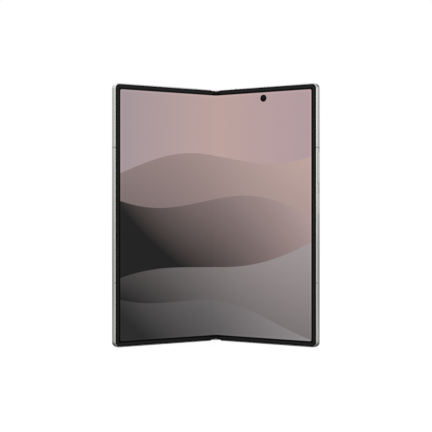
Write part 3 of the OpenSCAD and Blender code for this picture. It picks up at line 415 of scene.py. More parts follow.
def add(tree, kind, inputs=None, **settings):
    """Adds a node: its settings by name, and its inputs by name or number, as values or as sockets to link."""
    made = tree.nodes.new(kind)
    for name, value in settings.items():
        setattr(made, name, value)
    for key, value in (inputs or {}).items():
        if isinstance(value, bpy.types.NodeSocket):
            tree.links.new(value, made.inputs[key])
        else:
            made.inputs[key].default_value = value
    return made


def finish(name, **shader):
    """A new material with one Principled shader, and its constant values set on the shader's sockets."""
    material = bpy.data.materials.new(name)
    material.use_nodes = True
    tree = material.node_tree
    tree.nodes.clear()
    principled = add(tree, "ShaderNodeBsdfPrincipled", {key.replace("_", " "): v for key, v in shader.items()})
    output = add(tree, "ShaderNodeOutputMaterial")
    tree.links.new(principled.outputs[0], output.inputs["Surface"])
    return material, tree, principled


def ramp(tree, factor, *stops):
    """A colour ramp through (place, colour) stops, whose colours are in sRGB hex or linear already."""
    made = add(tree, "ShaderNodeValToRGB", {"Fac": factor})
    elements = made.color_ramp.elements
    while len(elements) < len(stops):
        elements.new(0.5)
    for element, (place, shade) in zip(elements, stops):
        element.position = place
        element.color = linear(shade) if isinstance(shade, str) else shade
    return made.outputs["Color"]


def darker(shade, share):
    """A colour brought towards black."""
    return (*[c * share for c in shade[:3]], 1.0)


# Noise gathers round a half, and between these two values its colours run from the darker to the full one
NOISE_LOW, NOISE_HIGH = 0.3, 0.7


def speckle(tree, principled, pattern, dark, light):
    """Lets the base colour follow a noise."""
    tint = ramp(tree, pattern, (NOISE_LOW, dark), (NOISE_HIGH, light))
    tree.links.new(tint, principled.inputs["Base Color"])


def vary_roughness(tree, principled, pattern, rough):
    """Lets the roughness follow a pattern, from the first value to the second."""
    gloss = add(tree, "ShaderNodeMapRange", {"Value": pattern, "To Min": rough[0], "To Max": rough[1]})
    tree.links.new(gloss.outputs["Result"], principled.inputs["Roughness"])


def smears(tree, principled, size, rough, detail=2.0):
    """Marks of a real size in metres that only the roughness shows."""
    place = add(tree, "ShaderNodeTexCoord").outputs["Object"]
    noise = add(tree, "ShaderNodeTexNoise", {"Vector": place, "Scale": 1 / size, "Detail": detail})
    vary_roughness(tree, principled, noise.outputs["Fac"], rough)


def grain(tree, principled, size, depth, shade, spread, rough, detail=3.0):
    """Even grain of a real size in metres: its colour, roughness and relief all follow one noise."""
    place = add(tree, "ShaderNodeTexCoord").outputs["Object"]
    noise = add(tree, "ShaderNodeTexNoise", {"Vector": place, "Scale": 1 / size, "Detail": detail})
    speckle(tree, principled, noise.outputs["Fac"], darker(shade, spread), shade)
    vary_roughness(tree, principled, noise.outputs["Fac"], rough)
    bump = add(tree, "ShaderNodeBump", {"Height": noise.outputs["Fac"], "Strength": 0.4, "Distance": depth})
    tree.links.new(bump.outputs["Normal"], principled.inputs["Normal"])


def second_axis(tree):
    """The second axis of the piece's own map."""
    uv = add(tree, "ShaderNodeTexCoord").outputs["UV"]
    return add(tree, "ShaderNodeSeparateXYZ", {"Vector": uv}).outputs["Y"]


def beyond(tree, places, reaches):
    """How far a point is beyond a middle rectangle, along each of two axes and straight from the rectangle."""
    past = []
    for place, reach in zip(places, reaches):
        size = add(tree, "ShaderNodeMath", {0: place}, operation="ABSOLUTE")
        past.append(add(tree, "ShaderNodeMath", {0: size.outputs[0], 1: reach}, operation="SUBTRACT").outputs[0])
    outside = [add(tree, "ShaderNodeMath", {0: part, 1: 0.0}, operation="MAXIMUM").outputs[0] for part in past]
    corner = add(tree, "ShaderNodeCombineXYZ", {"X": outside[0], "Y": outside[1]})
    away = add(tree, "ShaderNodeVectorMath", {0: corner.outputs[0]}, operation="LENGTH")
    return past, away.outputs["Value"]


def blasted(name):
    """Aluminium under blasting grit, which leaves dents of about 0.1 mm."""
    material, tree, principled = finish(name, Metallic=1.0)
    grain(tree, principled, 0.1 * MM, 0.002 * MM, tuple(colours().alloy), 0.96, (0.26, 0.34))
    return material, tree, principled


def blasted_alloy():
    """Bead-blasted and anodised aluminium: a soft, even satin, with a grain only just seen in raking light."""
    return blasted("blasted_anodised_aluminium")[0]


def side_alloy_painted_reflection():
    """The same alloy on the frame's sides, with a painted reflection: a soft dark band between two pale ones, as a
    crowned side would reflect its surroundings.
    """
    material, tree, principled = blasted("blasted_sides_painted_reflection")
    # The map's second axis is the depth behind the screen, as a share of the thickness
    # Painted reflection: the sides are darker down their middle and paler towards their edges
    line = ramp(
        tree,
        second_axis(tree),
        (0.1, "#FFFFFF"),
        (0.22, "#F6F6F6"),
        (0.4, "#E2E2E2"),
        (0.72, "#E2E2E2"),
        (0.9, "#FFFFFF"),
    )
    shade = principled.inputs["Base Color"].links[0].from_socket
    tint = add(tree, "ShaderNodeVectorMath", {0: shade, 1: line}, operation="MULTIPLY")
    tree.links.new(tint.outputs[0], principled.inputs["Base Color"])
    return material


def cut_alloy():
    """Diamond-cut aluminium chamfer: much glossier than the blasted sides, so the edge draws a bright line."""
    material, tree, principled = finish("diamond_cut_aluminium", Metallic=1.0)
    grain(tree, principled, 0.3 * MM, 0.0005 * MM, tuple(colours().alloy), 0.98, (0.16, 0.22))
    return material


def soft_bezel():
    """Moulded thermoplastic polyurethane: a rubbery black with a faint moulded grain and a dull sheen."""
    material, tree, principled = finish("moulded_soft_polyurethane", Specular_IOR_Level=0.2)
    # A spark-eroded mould leaves grain of about 0.06 mm
    grain(tree, principled, 0.06 * MM, 0.003 * MM, tuple(colours().bezel), 0.8, (0.5, 0.62))
    return material


def bezel_bead_painted_shade():
    """The bezel's outer bead: the same black, more matt, and darker by a painted shade."""
    material, tree, principled = finish("matt_polyurethane_painted_shade", Specular_IOR_Level=0.12)
    # Painted shade: the bezel's black at about a third of its brightness, on a rougher finish
    grain(tree, principled, 0.06 * MM, 0.002 * MM, darker(tuple(colours().bezel), 0.35), 0.8, (0.66, 0.76))
    return material


# The colour inputs and the colour result of a Mix node, by number, because its other inputs share their names
MIX_FIRST, MIX_SECOND, MIX_RESULT = 6, 7, 2


def picture_colour(tree):
    """The screen's picture: soft overlapping dunes under a pale rose sky, in millimetres of the opened screen."""
    uv = add(tree, "ShaderNodeTexCoord").outputs["UV"]
    width, height = 2 * sizes().half_width / MM, sizes().height / MM
    place = add(
        tree, "ShaderNodeMapping", {"Vector": uv, "Scale": (width, height, 1.0), "Location": (-width / 2, 0.0, 0.0)}
    )
    split = add(tree, "ShaderNodeSeparateXYZ", {"Vector": place.outputs["Vector"]})
    x, z = split.outputs["X"], split.outputs["Y"]
    # The sky changes colour across this stretch
    sky_start, sky_end = -70.0, 60.0
    across = add(tree, "ShaderNodeMapRange", {"Value": x, "From Min": sky_start, "From Max": sky_end})
    left, right = tuple(colours().picture_left), tuple(colours().picture_right)
    picture = ramp(tree, across.outputs["Result"], (0.0, left), (0.55, right), (1.0, "#B39BA0"))
    # Each dune: crest height at the middle, rise across, wave height and length, phase, shade depth and colours
    dunes = (
        (113.0, 0.10, 7.0, 150.0, 2.6, 110.0, "#C0A6A1", "#5E5658"),
        (86.0, -0.14, 9.0, 170.0, 0.4, 58.0, "#B39D9B", "#202020"),
        (50.0, 0.24, 8.0, 190.0, 3.6, 66.0, "#A59C9D", "#242424"),
        (21.0, -0.18, 5.0, 140.0, 1.2, 62.0, "#918C8E", "#2A2A2A"),
    )
    # Half the width of a crest's soft line, how far above it the shade starts, and how much the shade grows leftwards
    line, above, leftwards = 0.15, -60.0, -0.8
    for crest, rise, wave, wave_length, phase, depth, light, dark in dunes:
        swing = {0: x, 1: 2 * math.pi / wave_length, 2: phase}
        angle = add(tree, "ShaderNodeMath", swing, operation="MULTIPLY_ADD")
        sway = add(tree, "ShaderNodeMath", {0: angle.outputs[0]}, operation="SINE")
        slope = add(tree, "ShaderNodeMath", {0: x, 1: rise, 2: crest}, operation="MULTIPLY_ADD")
        lift = {0: sway.outputs[0], 1: wave, 2: slope.outputs[0]}
        top = add(tree, "ShaderNodeMath", lift, operation="MULTIPLY_ADD")
        below = add(tree, "ShaderNodeMath", {0: top.outputs[0], 1: z}, operation="SUBTRACT")
        inside = add(
            tree,
            "ShaderNodeMapRange",
            {"Value": below.outputs[0], "From Min": -line, "From Max": line},
            interpolation_type="SMOOTHSTEP",
        )
        # Shade deepens down each dune, and towards the left, away from the light
        shade = add(tree, "ShaderNodeMath", {0: x, 1: leftwards, 2: below.outputs[0]}, operation="MULTIPLY_ADD")
        share = add(tree, "ShaderNodeMapRange", {"Value": shade.outputs[0], "From Min": above, "From Max": depth})
        body = ramp(tree, share.outputs["Result"], (0.0, linear(light)), (1.0, linear(dark)))
        layers = {"Factor": inside.outputs["Result"], MIX_FIRST: picture, MIX_SECOND: body}
        picture = add(tree, "ShaderNodeMix", layers, data_type="RGBA").outputs[MIX_RESULT]
    return picture, x, z


# Half the width of the soft line where the lit picture ends, in millimetres
SCREEN_EDGE = 0.03


def folding_screen():
    """Folding panel under a hard-coated film: a lit picture with a dark border, and a soft gloss over all of it."""
    material, tree, principled = finish(
        "coated_folding_screen", Base_Color=linear("#020202"), Roughness=0.14, Specular_IOR_Level=0.06
    )
    picture, x, z = picture_colour(tree)
    s = sizes()
    half_x = (s.half_width - s.lit_side - s.lit_corner) / MM
    half_z = (s.height / 2 - s.lit_end - s.lit_corner) / MM
    middle = s.height / 2 / MM
    up = add(tree, "ShaderNodeMath", {0: z, 1: middle}, operation="SUBTRACT")
    # From the rectangle of the lit corners' centres
    past, away = beyond(tree, (x, up.outputs[0]), (half_x, half_z))
    nearest = add(tree, "ShaderNodeMath", {0: past[0], 1: past[1]}, operation="MAXIMUM")
    edge = s.lit_corner / MM
    lit = add(
        tree,
        "ShaderNodeMapRange",
        {"Value": away, "From Min": edge - SCREEN_EDGE, "From Max": edge + SCREEN_EDGE, "To Min": 1.0, "To Max": 0.0},
    )
    # The picture's outermost millimetre is a little brighter, where light leaks sideways in the film
    leak = add(
        tree,
        "ShaderNodeMapRange",
        {"Value": nearest.outputs[0], "From Min": -0.3 * edge, "From Max": 0.0, "To Min": 1.0, "To Max": 1.1},
    )
    picture = add(tree, "ShaderNodeVectorMath", {0: picture, 1: leak.outputs[0]}, operation="MULTIPLY").outputs[0]
    layers = {"Factor": lit.outputs["Result"], MIX_FIRST: linear("#020202"), MIX_SECOND: picture}
    glow = add(tree, "ShaderNodeMix", layers, data_type="RGBA")
    tree.links.new(glow.outputs[MIX_RESULT], principled.inputs["Emission Color"])
    principled.inputs["Emission Strength"].default_value = 1.0
    return material


def panel_edge():
    """The cut edge and back of the panel stack: plain dark film."""
    material, tree, principled = finish("cut_film_edge", Specular_IOR_Level=0.3)
    grain(tree, principled, 0.2 * MM, 0.001 * MM, linear("#161617"), 0.8, (0.4, 0.5))
    return material


# Width of the marks that wiping leaves on glass
WIPING = 7 * MM


def black_glass():
    """Hardened glass, printed black behind: a deep even gloss, with traces of wiping that only a light shows."""
    material, tree, principled = finish("black_backed_hard_glass", Base_Color=linear("#060607"), IOR=1.5)
    smears(tree, principled, WIPING, (0.03, 0.09), detail=4.0)
    return material


def frosted_glass():
    """Acid-etched glass with a silver backing: a pale satin with a slight depth, and the finest sparkle."""
    material, tree, principled = finish("etched_silver_glass", Metallic=0.45, Coat_Weight=0.35, Coat_Roughness=0.2)
    # Etching leaves pits of a few hundredths of a millimetre, drawn at 0.15 mm so that they show
    grain(tree, principled, 0.15 * MM, 0.001 * MM, tuple(colours().back), 0.96, (0.28, 0.38))
    return material


def band_plastic():
    """Injection-moulded polyamide in the antenna gaps, milled flush with the metal: a shade warmer and duller."""
    material, tree, principled = finish("milled_polyamide", Specular_IOR_Level=0.4)
    grain(tree, principled, 0.12 * MM, 0.002 * MM, tuple(colours().band), 0.92, (0.45, 0.55))
    return material


def cover_pane():
    """Hardened glass over the cover display: black print to its edge, and a slightly paler area where it lights."""
    material, tree, principled = finish("printed_cover_glass", IOR=1.5)
    low, high = flat_box("cover_display", LEFT)
    # The lit area stops short of the display's own edge, measured from the middle of the area
    border, corner, line = 1.2 * MM, 2.4 * MM, 0.05 * MM
    middle, half = (low + high) / 2, (high - low) / 2
    uv = add(tree, "ShaderNodeTexCoord").outputs["UV"]
    place = add(tree, "ShaderNodeMapping", {"Vector": uv, "Location": (-middle.x, -middle.z, 0.0)})
    split = add(tree, "ShaderNodeSeparateXYZ", {"Vector": place.outputs["Vector"]})
    reaches = (half.x - border - corner, half.z - border - corner)
    away = beyond(tree, (split.outputs["X"], split.outputs["Y"]), reaches)[1]
    share = add(
        tree, "ShaderNodeMapRange", {"Value": away, "From Min": corner - line, "From Max": corner + line}
    )
    tint = ramp(tree, share.outputs["Result"], (0.0, "#0C0D10"), (1.0, "#050505"))
    tree.links.new(tint, principled.inputs["Base Color"])
    smears(tree, principled, WIPING, (0.03, 0.09), detail=4.0)
    return material


def turned_ring():
    """Aluminium ring, turned on a lathe and anodised dark: fine round lines that draw its highlight out."""
    material, tree, principled = finish("turned_anodised_ring", Metallic=1.0)
    uv = add(tree, "ShaderNodeTexCoord").outputs["UV"]
    # Turning leaves lines about 0.05 mm apart. The map's second axis is the radius
    lines = add(tree, "ShaderNodeMapping", {"Vector": uv, "Scale": (1.0, 1 / (0.05 * MM), 1.0)})
    noise = add(tree, "ShaderNodeTexNoise", {"Vector": lines.outputs["Vector"], "Scale": 1.0, "Detail": 1.0})
    speckle(tree, principled, noise.outputs["Fac"], "#7E8083", "#94969A")
    vary_roughness(tree, principled, noise.outputs["Fac"], (0.2, 0.3))
    return material


def diffuser():
    """Moulded acrylic over the flash: clear and slightly milky, with the ridges of a flat lens."""
    material, tree, principled = finish(
        "moulded_acrylic_diffuser", Base_Color=linear("#F4F1E6"), Transmission_Weight=0.75, IOR=1.49
    )
    smears(tree, principled, 0.4 * MM, (0.12, 0.22))
    return material


def track_film():
    """Polyimide film over copper tracks: amber, with the tracks as paler stripes along the cable."""
    material, tree, principled = finish("polyimide_over_tracks", Specular_IOR_Level=0.5)
    place = add(tree, "ShaderNodeTexCoord").outputs["Object"]
    split = add(tree, "ShaderNodeSeparateXYZ", {"Vector": place})
    # Tracks lie 0.45 mm apart across the cable
    wave = add(
        tree, "ShaderNodeMath", {0: split.outputs["Z"], 1: 2 * math.pi / (0.45 * MM)}, operation="MULTIPLY"
    )
    wave = add(tree, "ShaderNodeMath", {0: wave.outputs[0]}, operation="SINE")
    share = add(tree, "ShaderNodeMapRange", {"Value": wave.outputs[0], "From Min": -0.3, "From Max": 0.3})
    tint = ramp(tree, share.outputs["Result"], (0.0, "#6E4416"), (1.0, "#B0762F"))
    tree.links.new(tint, principled.inputs["Base Color"])
    smears(tree, principled, 0.8 * MM, (0.28, 0.42))
    return material


def lens_glass():
    """Sapphire window, coated against reflections: clear and very smooth, so that the lens behind it stays deep."""
    material, tree, principled = finish(
        "coated_sapphire", Base_Color=linear("#E9EEF4"), Transmission_Weight=1.0, IOR=1.2
    )
    smears(tree, principled, 3 * MM, (0.0, 0.02))
    return material


def coated_window_painted_reflection():
    """Small coated camera window with black print behind: as dark as the print, with a faint violet pupil, a painted
    reflection of the coated lens behind it.
    """
    material, tree, principled = finish("camera_window_painted_reflection", IOR=1.5, Specular_IOR_Level=0.08)
    # The map's second axis is the share of the window's radius. Its bluish middle and violet ring are a painted
    # reflection
    tint = ramp(
        tree,
        second_axis(tree),
        (0.0, "#0A0A14"),
        (0.22, "#08080E"),
        (0.3, "#16162A"),
        (0.38, "#040405"),
        (0.52, "#0B0B0D"),
        (0.56, "#040405"),
    )
    tree.links.new(tint, principled.inputs["Base Color"])
    smears(tree, principled, 2 * MM, (0.04, 0.08))
    return material


def coated_element_painted_reflection():
    """Front lens element with its anti-reflection coating: a black pupil, with painted reflections round it: the
    coating's violet to green cast and pale rings.
    """
    material, tree, principled = finish("coated_glass_painted_reflection", Roughness=0.05, Specular_IOR_Level=0.2)
    # Painted reflection: the coating's cast, violet face on and green towards the slanting edge
    facing = add(tree, "ShaderNodeLayerWeight", {"Blend": 0.4})
    cast = ramp(
        tree,
        facing.outputs["Facing"],
        (0.0, "#15183A"),
        (0.35, "#262452"),
        (0.7, "#173B38"),
        (1.0, "#28505A"),
    )
    # The map's second axis is the share of the element's radius. Its pale rings are painted reflections
    rings = ramp(
        tree,
        second_axis(tree),
        (0.0, "#020203"),
        (0.3, "#040408"),
        (0.42, "#6C6C7A"),
        (0.5, "#2A2A36"),
        (0.74, "#8C8CA0"),
        (0.9, "#101014"),
    )
    tint = add(tree, "ShaderNodeVectorMath", {0: cast, 1: rings}, operation="MULTIPLY")
    tree.links.new(tint.outputs[0], principled.inputs["Base Color"])
    return material


def plain_grain(name, shade, size, depth, rough, **shader):
    """A finish that is one colour with a grain of a real size."""
    material, tree, principled = finish(name, **shader)
    grain(tree, principled, size, depth, linear(shade), 0.9, rough)
    return material


def brushed(name, shade, rough, along):
    """Brushed or ground metal: fine scratches that run along one axis."""
    material, tree, principled = finish(name, Metallic=1.0)
    place = add(tree, "ShaderNodeTexCoord").outputs["Object"]
    # Grinding leaves lines about 0.03 mm apart and several millimetres long
    fine, long = 1 / (0.03 * MM), 1 / (4 * MM)
    scale = [fine, fine, fine]
    scale["XYZ".index(along)] = long
    stretched = add(tree, "ShaderNodeMapping", {"Vector": place, "Scale": scale})
    noise = add(tree, "ShaderNodeTexNoise", {"Vector": stretched.outputs[0], "Scale": 1.0, "Detail": 2.0})
    speckle(tree, principled, noise.outputs["Fac"], darker(linear(shade), 0.8), shade)
    vary_roughness(tree, principled, noise.outputs["Fac"], rough)
    return material


def circuit_board():
    """Glass-epoxy board under green solder mask, with pale copper tracks on a 1.2 mm grid."""
    material, tree, principled = finish("solder_masked_board", Specular_IOR_Level=0.5)
    place = add(tree, "ShaderNodeTexCoord").outputs["Object"]
    bricks = add(
        tree,
        "ShaderNodeTexBrick",
        {
            "Vector": place,
            "Color1": linear("#0F3A2A"),
            "Color2": linear("#124533"),
            "Mortar": linear("#2F6A4A"),
            "Scale": 1 / (1.2 * MM),
            "Mortar Size": 0.06,
            "Brick Width": 1.5,
            "Row Height": 0.5,
        },
    )
    tree.links.new(bricks.outputs["Color"], principled.inputs["Base Color"])
    vary_roughness(tree, principled, bricks.outputs["Fac"], (0.35, 0.5))
    return material


def battery_foil():
    """Laminated aluminium pouch in dark film: soft dents a few millimetres across."""
    material, tree, principled = finish("dark_pouch_foil", Metallic=0.4)
    grain(tree, principled, 5 * MM, 0.05 * MM, linear("#3A3A3D"), 0.85, (0.35, 0.5), detail=5.0)
    return material


def matt_black():
    """Matt black paint in a lens barrel: a light trap, with next to no shine."""
    return plain_grain(
        "matt_black_barrel", "#050505", 0.05 * MM, 0.003 * MM, (0.8, 0.9), Specular_IOR_Level=0.05
    )


FINISH_MAKERS = {
    "alloy": blasted_alloy,
    "side_alloy_painted_reflection": side_alloy_painted_reflection,
    "cut_alloy": cut_alloy,
    "bezel": soft_bezel,
    "bead": bezel_bead_painted_shade,
    "screen": folding_screen,
    "panel_edge": panel_edge,
    "black_glass": black_glass,
    "frosted_glass": frosted_glass,
    "band": band_plastic,
    "lens_glass": lens_glass,
    "coated_window_painted_reflection": coated_window_painted_reflection,
    "element": coated_element_painted_reflection,
    "cover_pane": cover_pane,
    "turned_ring": turned_ring,
    "diffuser": diffuser,
    "track_film": track_film,
    "board": circuit_board,
    "battery": battery_foil,
    "matt_black": matt_black,
}

# Finishes of one colour: name, colour, width and depth of the grain in millimetres, and the roughness
PLAIN_FINISHES = {
    # A smooth black ring behind a window
    "ink": ("printed_black_ink", "#050506", 0.1, 0.0005, (0.12, 0.2)),
    # A bright cup behind the flash
    "white_cup": ("moulded_white_reflector", "#E8E6DF", 0.1, 0.001, (0.35, 0.5)),
    # A dull black that hides inside parts
    "black_mould": ("black_moulded_plastic", "#141415", 0.08, 0.004, (0.5, 0.65)),
    # The pale yellow of a white lamp that is off
    "phosphor": ("yellow_phosphor", "#D9C66A", 0.05, 0.002, (0.5, 0.6)),
}

# Metal finishes of one colour, in the same order
PLAIN_METALS = {
    # Dark mesh behind the speaker slots
    "steel_wire": ("woven_steel_wire", "#4C4D50", 0.05, 0.001, (0.3, 0.4)),
    # Bright thin sheet with faint stains
    "shield": ("tinned_steel_can", "#B9BABC", 2, 0.002, (0.25, 0.4)),
    # Warm copper under clear enamel
    "copper": ("enamelled_copper", "#B0703E", 0.2, 0.001, (0.25, 0.35)),
    # A dull gold washer
    "bronze": ("sintered_bronze", "#A8834A", 0.1, 0.003, (0.35, 0.5)),
    # Thin gold over nickel
    "gold": ("gold_plate", "#C9A24E", 0.2, 0.001, (0.2, 0.3)),
    # Small dark screw heads
    "black_oxide": ("black_oxide_steel", "#3A3A3D", 0.05, 0.001, (0.3, 0.42)),
}

# Metals with fine lines: name, colour, roughness, and the axis that the lines run along
BRUSHED_METALS = {
    # Hard grey steel with grinding lines
    "hinge_steel": ("ground_hinge_steel", "#8D8F93", (0.25, 0.4), "Z"),
    # Bright steel teeth
    "gear_steel": ("hobbed_gear_steel", "#A5A6A8", (0.2, 0.32), "Z"),
    # Bright drawn wire
    "spring_steel": ("drawn_spring_wire", "#A9AAAC", (0.18, 0.28), "X"),
    # Thin dark rolled sheet
    "plate_steel": ("rolled_support_steel", "#4A4B4E", (0.3, 0.45), "Z"),
}

FINISHES = {}


def make_finish(key):
    """A new material for a finish of the tables above."""
    if key in BRUSHED_METALS:
        return brushed(*BRUSHED_METALS[key])
    for table, shader in ((PLAIN_FINISHES, {}), (PLAIN_METALS, {"Metallic": 1.0})):
        if key in table:
            name, shade, size, depth, rough = table[key]
            return plain_grain(name, shade, size * MM, depth * MM, rough, **shader)
    return FINISH_MAKERS[key]()


def material_named(key):
    """Makes each finish once."""
    if key not in FINISHES:
        FINISHES[key] = make_finish(key)
    return FINISHES[key]


# ---------- the screen and its bezel ----------


def screen_uv(side, x, z):
    """Where a point of the opened screen lies in its picture."""
    return (0.5 + side * x / (2 * sizes().half_width), z / sizes().height)


def turn_share(along):
    """How much of the half's turn a point of the bend follows, as the blend between two bodies works it out."""
    t = min(1.0, max(0.0, along))
    return t * t * (3 - 2 * t)


def bend_end_x():
    """How far from the fold plane the bend ends where it stands, measured across."""
    s = sizes()
    return AXIS_X + (s.bend - AXIS_X) * math.cos(TURN) - s.axis_depth * math.sin(TURN)


def bent(x, y):
    """Where a point of the bend stands, in the drawing on the fold plane, with x measured along the panel."""
    s = sizes()
    share = turn_share(x / s.bend)
    # The share follows from where the point stands, and that from the share, so they are brought together
    for _ in range(BEND_ROUNDS):
        c, d = math.cos(TURN * share), math.sin(TURN * share)
        u, v = x - AXIS_X, y + s.crease * (1 - share) - s.axis_depth
        place = (AXIS_X + u * c + v * d, s.axis_depth - u * d + v * c)
        share += 0.5 * (turn_share(place[0] / bend_end_x()) - share)
    return place


BEND_ROUNDS = 30


def bend_piece(name, side, rings, replaced, slot, *materials, uvs=None, sort=None):
    """A piece of the bend on one side, which turns smoothly from the spine to that half."""
    mesh = loft([[(side * x, y, z) for x, y, z in ring] for ring in rings])
    made = piece(
        name, mesh, None, slot, *materials, place=spine_place(), stands_for=(replaced,), uvs=uvs, sort=sort, angle=50
    )
    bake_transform(made)


def make_bend(side):
    """The stretch of the screen between the halves, with its front, its back and its cut ends."""
    s = sizes()
    steps = 24
    stations = [s.bend * k / steps for k in range(steps + 1)]
    low, high = s.panel_inset, s.height - s.panel_inset
    rings, uvs = [], []
    for x in stations:
        front, back = bent(x, 0.0), bent(x, s.panel_depth)
        rings.append([(*front, low), (*front, high), (*back, high), (*back, low)])
        uvs += [screen_uv(side, x, z) for z in (low, high, high, low)]
    bend_piece(
        "screen_bend_" + SIDE_NAME[side], side, rings, "display_fold", "folding_panel",
        material_named("screen"), material_named("panel_edge"), uvs=uvs,
        sort=lambda face: 0 if face.normal.y < -0.5 else 1,
    )


def make_panel(side):
    """The stretch of the screen that stays flat, from the CAD panel, with the picture laid on it."""
    node = "display_" + SIDE_NAME[side]
    mesh = copy_of(node)
    to_flat = half_place(side).inverted().to_3x3()
    piece(
        "screen_panel_" + SIDE_NAME[side], mesh, HALF_BODY[side], "folding_panel",
        material_named("screen"), material_named("panel_edge"), stands_for=(node,),
        uvs=[screen_uv(side, point.x, point.z) for point in flat_points(mesh.verts, side)],
        sort=lambda face: 0 if (to_flat @ face.normal).y < -0.7 else 1,
    )


def bezel_profile():
    """The bezel's section: an outer bead and a lower inner band, as (inset from the edge, depth)."""
    s = sizes()
    # A hair of room beside the rim, and the share of the width that the bead takes
    room, bead = 0.03 * MM, 0.42
    # The bead's rounding, and its foot: how deep it goes behind the screen, and how far in under the band
    rounding, foot_depth, foot_reach = 0.1 * MM, 0.3 * MM, 1.3 * MM
    outer, inner, top = s.rim + room, s.bezel_reach, -s.bezel_rise
    band = top + s.bezel_step
    step = outer + bead * (inner - outer)
    return [
        (outer, foot_depth),
        (outer, top + rounding),
        *[(outer + rounding * (1 - math.cos(a)), top + rounding * (1 - math.sin(a))) for a in (0.5, 1.0)],
        (outer + 0.12 * MM, top),
        (step - 0.08 * MM, top),
        (step, top + 0.02 * MM),
        (step + 0.06 * MM, band),
        (inner - 0.1 * MM, band),
        (inner - 0.03 * MM, band + 0.02 * MM),
        (inner, band + 0.06 * MM),
        (inner, -0.005 * MM),
        (outer + foot_reach, -0.005 * MM),
        (outer + foot_reach, foot_depth),
    ]


def edge_path(start_x):
    """Stations round a half from the fold at the top, by the outer side, to the fold at the bottom."""
    s = sizes()
    top, bottom, r, out = s.height, 0.0, s.corner, s.half_width
    # Where the bezel still draws back from the edge, its stations stand closer
    near_end, near_steps, corner_steps = 6 * MM, 8, 14
    near = [start_x + (near_end - start_x) * k / near_steps for k in range(near_steps + 1)]
    path = [(x, top, 0, -1) for x in near]
    path += [(out - r + x, top - r + z, -x / r, -z / r) for x, z in arc((0, 0), r, 90, 0, corner_steps)]
    path += [(out - r + x, bottom + r + z, -x / r, -z / r) for x, z in arc((0, 0), r, 0, -90, corner_steps)]
    path += [(x, bottom, 0, 1) for x in reversed(near)]
    return path


# The bezel's outer side near the fold: where it starts, the stretch over which it draws back, and how far
BEZEL_END = 2.4 * MM
BEZEL_EASE = 2.3 * MM
BEZEL_DROP = 0.3 * MM


def bezel_drop(x):
    """How far the bezel's outer side falls back from the edge as it nears the fold."""
    t = min(1.0, max(0.0, (x - BEZEL_END) / BEZEL_EASE))
    return BEZEL_DROP * (1 - t) ** 2


def face_depth(face):
    """The mean depth of a face's corners in its drawing."""
    return sum(corner.vert.co.y for corner in face.loops) / len(face.loops)


def make_bezel(side):
    """The bezel of one half, from the fold at the top round to the fold at the bottom."""
    s = sizes()
    profile = bezel_profile()
    outer, inner = profile[0][0], s.bezel_reach
    band_depth = -s.bezel_rise + 0.5 * s.bezel_step
    rings = []
    for x, z, ix, iz in edge_path(BEZEL_END):
        drop = bezel_drop(x)
        ring = []
        for inset, y in profile:
            pushed = inset + drop * max(0.0, (inner - inset) / (inner - outer))
            ring.append((x + ix * pushed, y, z + iz * pushed))
        rings.append(ring)
    # Faces in front of the band's middle take the bead's finish, whose darker black is painted shade
    piece(
        "bezel_ring_" + SIDE_NAME[side], loft(rings), HALF_BODY[side], "soft_bezel", material_named("bezel"),
        material_named("bead"), place=half_place(side), stands_for=("bezel_" + SIDE_NAME[side],), angle=40,
        sort=lambda face: 1 if face_depth(face) < band_depth else 0,
    )


# The strips over the bend: how far they reach from the fold plane, and how much nearer their outer side is
STRIP_REACH, STRIP_ROOM = 2.1 * MM, 0.12 * MM
# Depth and width of the notch at the fold plane, then height, place and width of the nub beside it
NOTCH, NOTCH_W = 0.3 * MM, 0.4 * MM
NUB, NUB_X, NUB_W = 0.62 * MM, 0.85 * MM, 0.2 * MM


def make_bend_bezel(side):
    """The bezel's two thin strips over the bend, notched at the fold plane with a small nub on each side."""
    s = sizes()
    inner, steps = s.bezel_reach, 28
    # Depths of a strip's front, of its slanted edges and of its back, and the slant's width
    front, edge, back, slant = -0.18 * MM, -0.12 * MM, -0.01 * MM, 0.06 * MM
    for at_top, label in ((True, "top"), (False, "bottom")):
        rings = []
        for k in range(steps + 1):
            x = STRIP_REACH * k / steps
            notch = NOTCH * math.exp(-((x / NOTCH_W) ** 2))
            nub = NUB * math.exp(-(((x - NUB_X) / NUB_W) ** 2))
            outer = s.rim + BEZEL_DROP + STRIP_ROOM + notch - nub
            section = [
                (outer, back), (outer, edge), (outer + slant, front),
                (inner - slant, front), (inner, edge), (inner, back),
            ]
            ring = []
            for inset, y in section:
                px, py = bent(x, y)
                ring.append((px, py, s.height - inset if at_top else inset))
            rings.append(ring)
        # The strips are all in the bead's finish, whose darker black is painted shade
        bend_piece(
            "bezel_strip_" + label + "_" + SIDE_NAME[side], side, rings, "fold_bezel", "soft_bezel",
            material_named("bead"),
        )


# ---------- frames, glass and spine ----------


# A frame's face is a side where less of its normal than this lies along the depth, then a chamfer, then a flat
SIDE_BELOW, CHAMFER_BELOW = 0.45, 0.9


def make_frame(side):
    """The frame from its CAD solid, with its sides and its cut chamfers in finishes of their own; the sides' finish
    holds a painted reflection.
    """
    node = SIDE_NAME[side] + "_frame"
    mesh = copy_of(node)
    # The map's second axis, the depth as a share of the thickness, places the sides' painted reflection
    uvs = [(0.0, point.y / sizes().thickness) for point in flat_points(mesh.verts, side)]
    to_flat = half_place(side).inverted().to_3x3()

    def sort(face):
        depth = abs((to_flat @ face.normal).y)
        return 2 if depth < SIDE_BELOW else 1 if depth < CHAMFER_BELOW else 0

    piece(
        "frame_" + SIDE_NAME[side], mesh, HALF_BODY[side], "satin_alloy", material_named("alloy"),
        material_named("cut_alloy"), material_named("side_alloy_painted_reflection"), stands_for=(node,), uvs=uvs, sort=sort,
        turn_out=False,
    )
    dress(SIDE_NAME[side] + "_antenna_bands", material_named("band"))


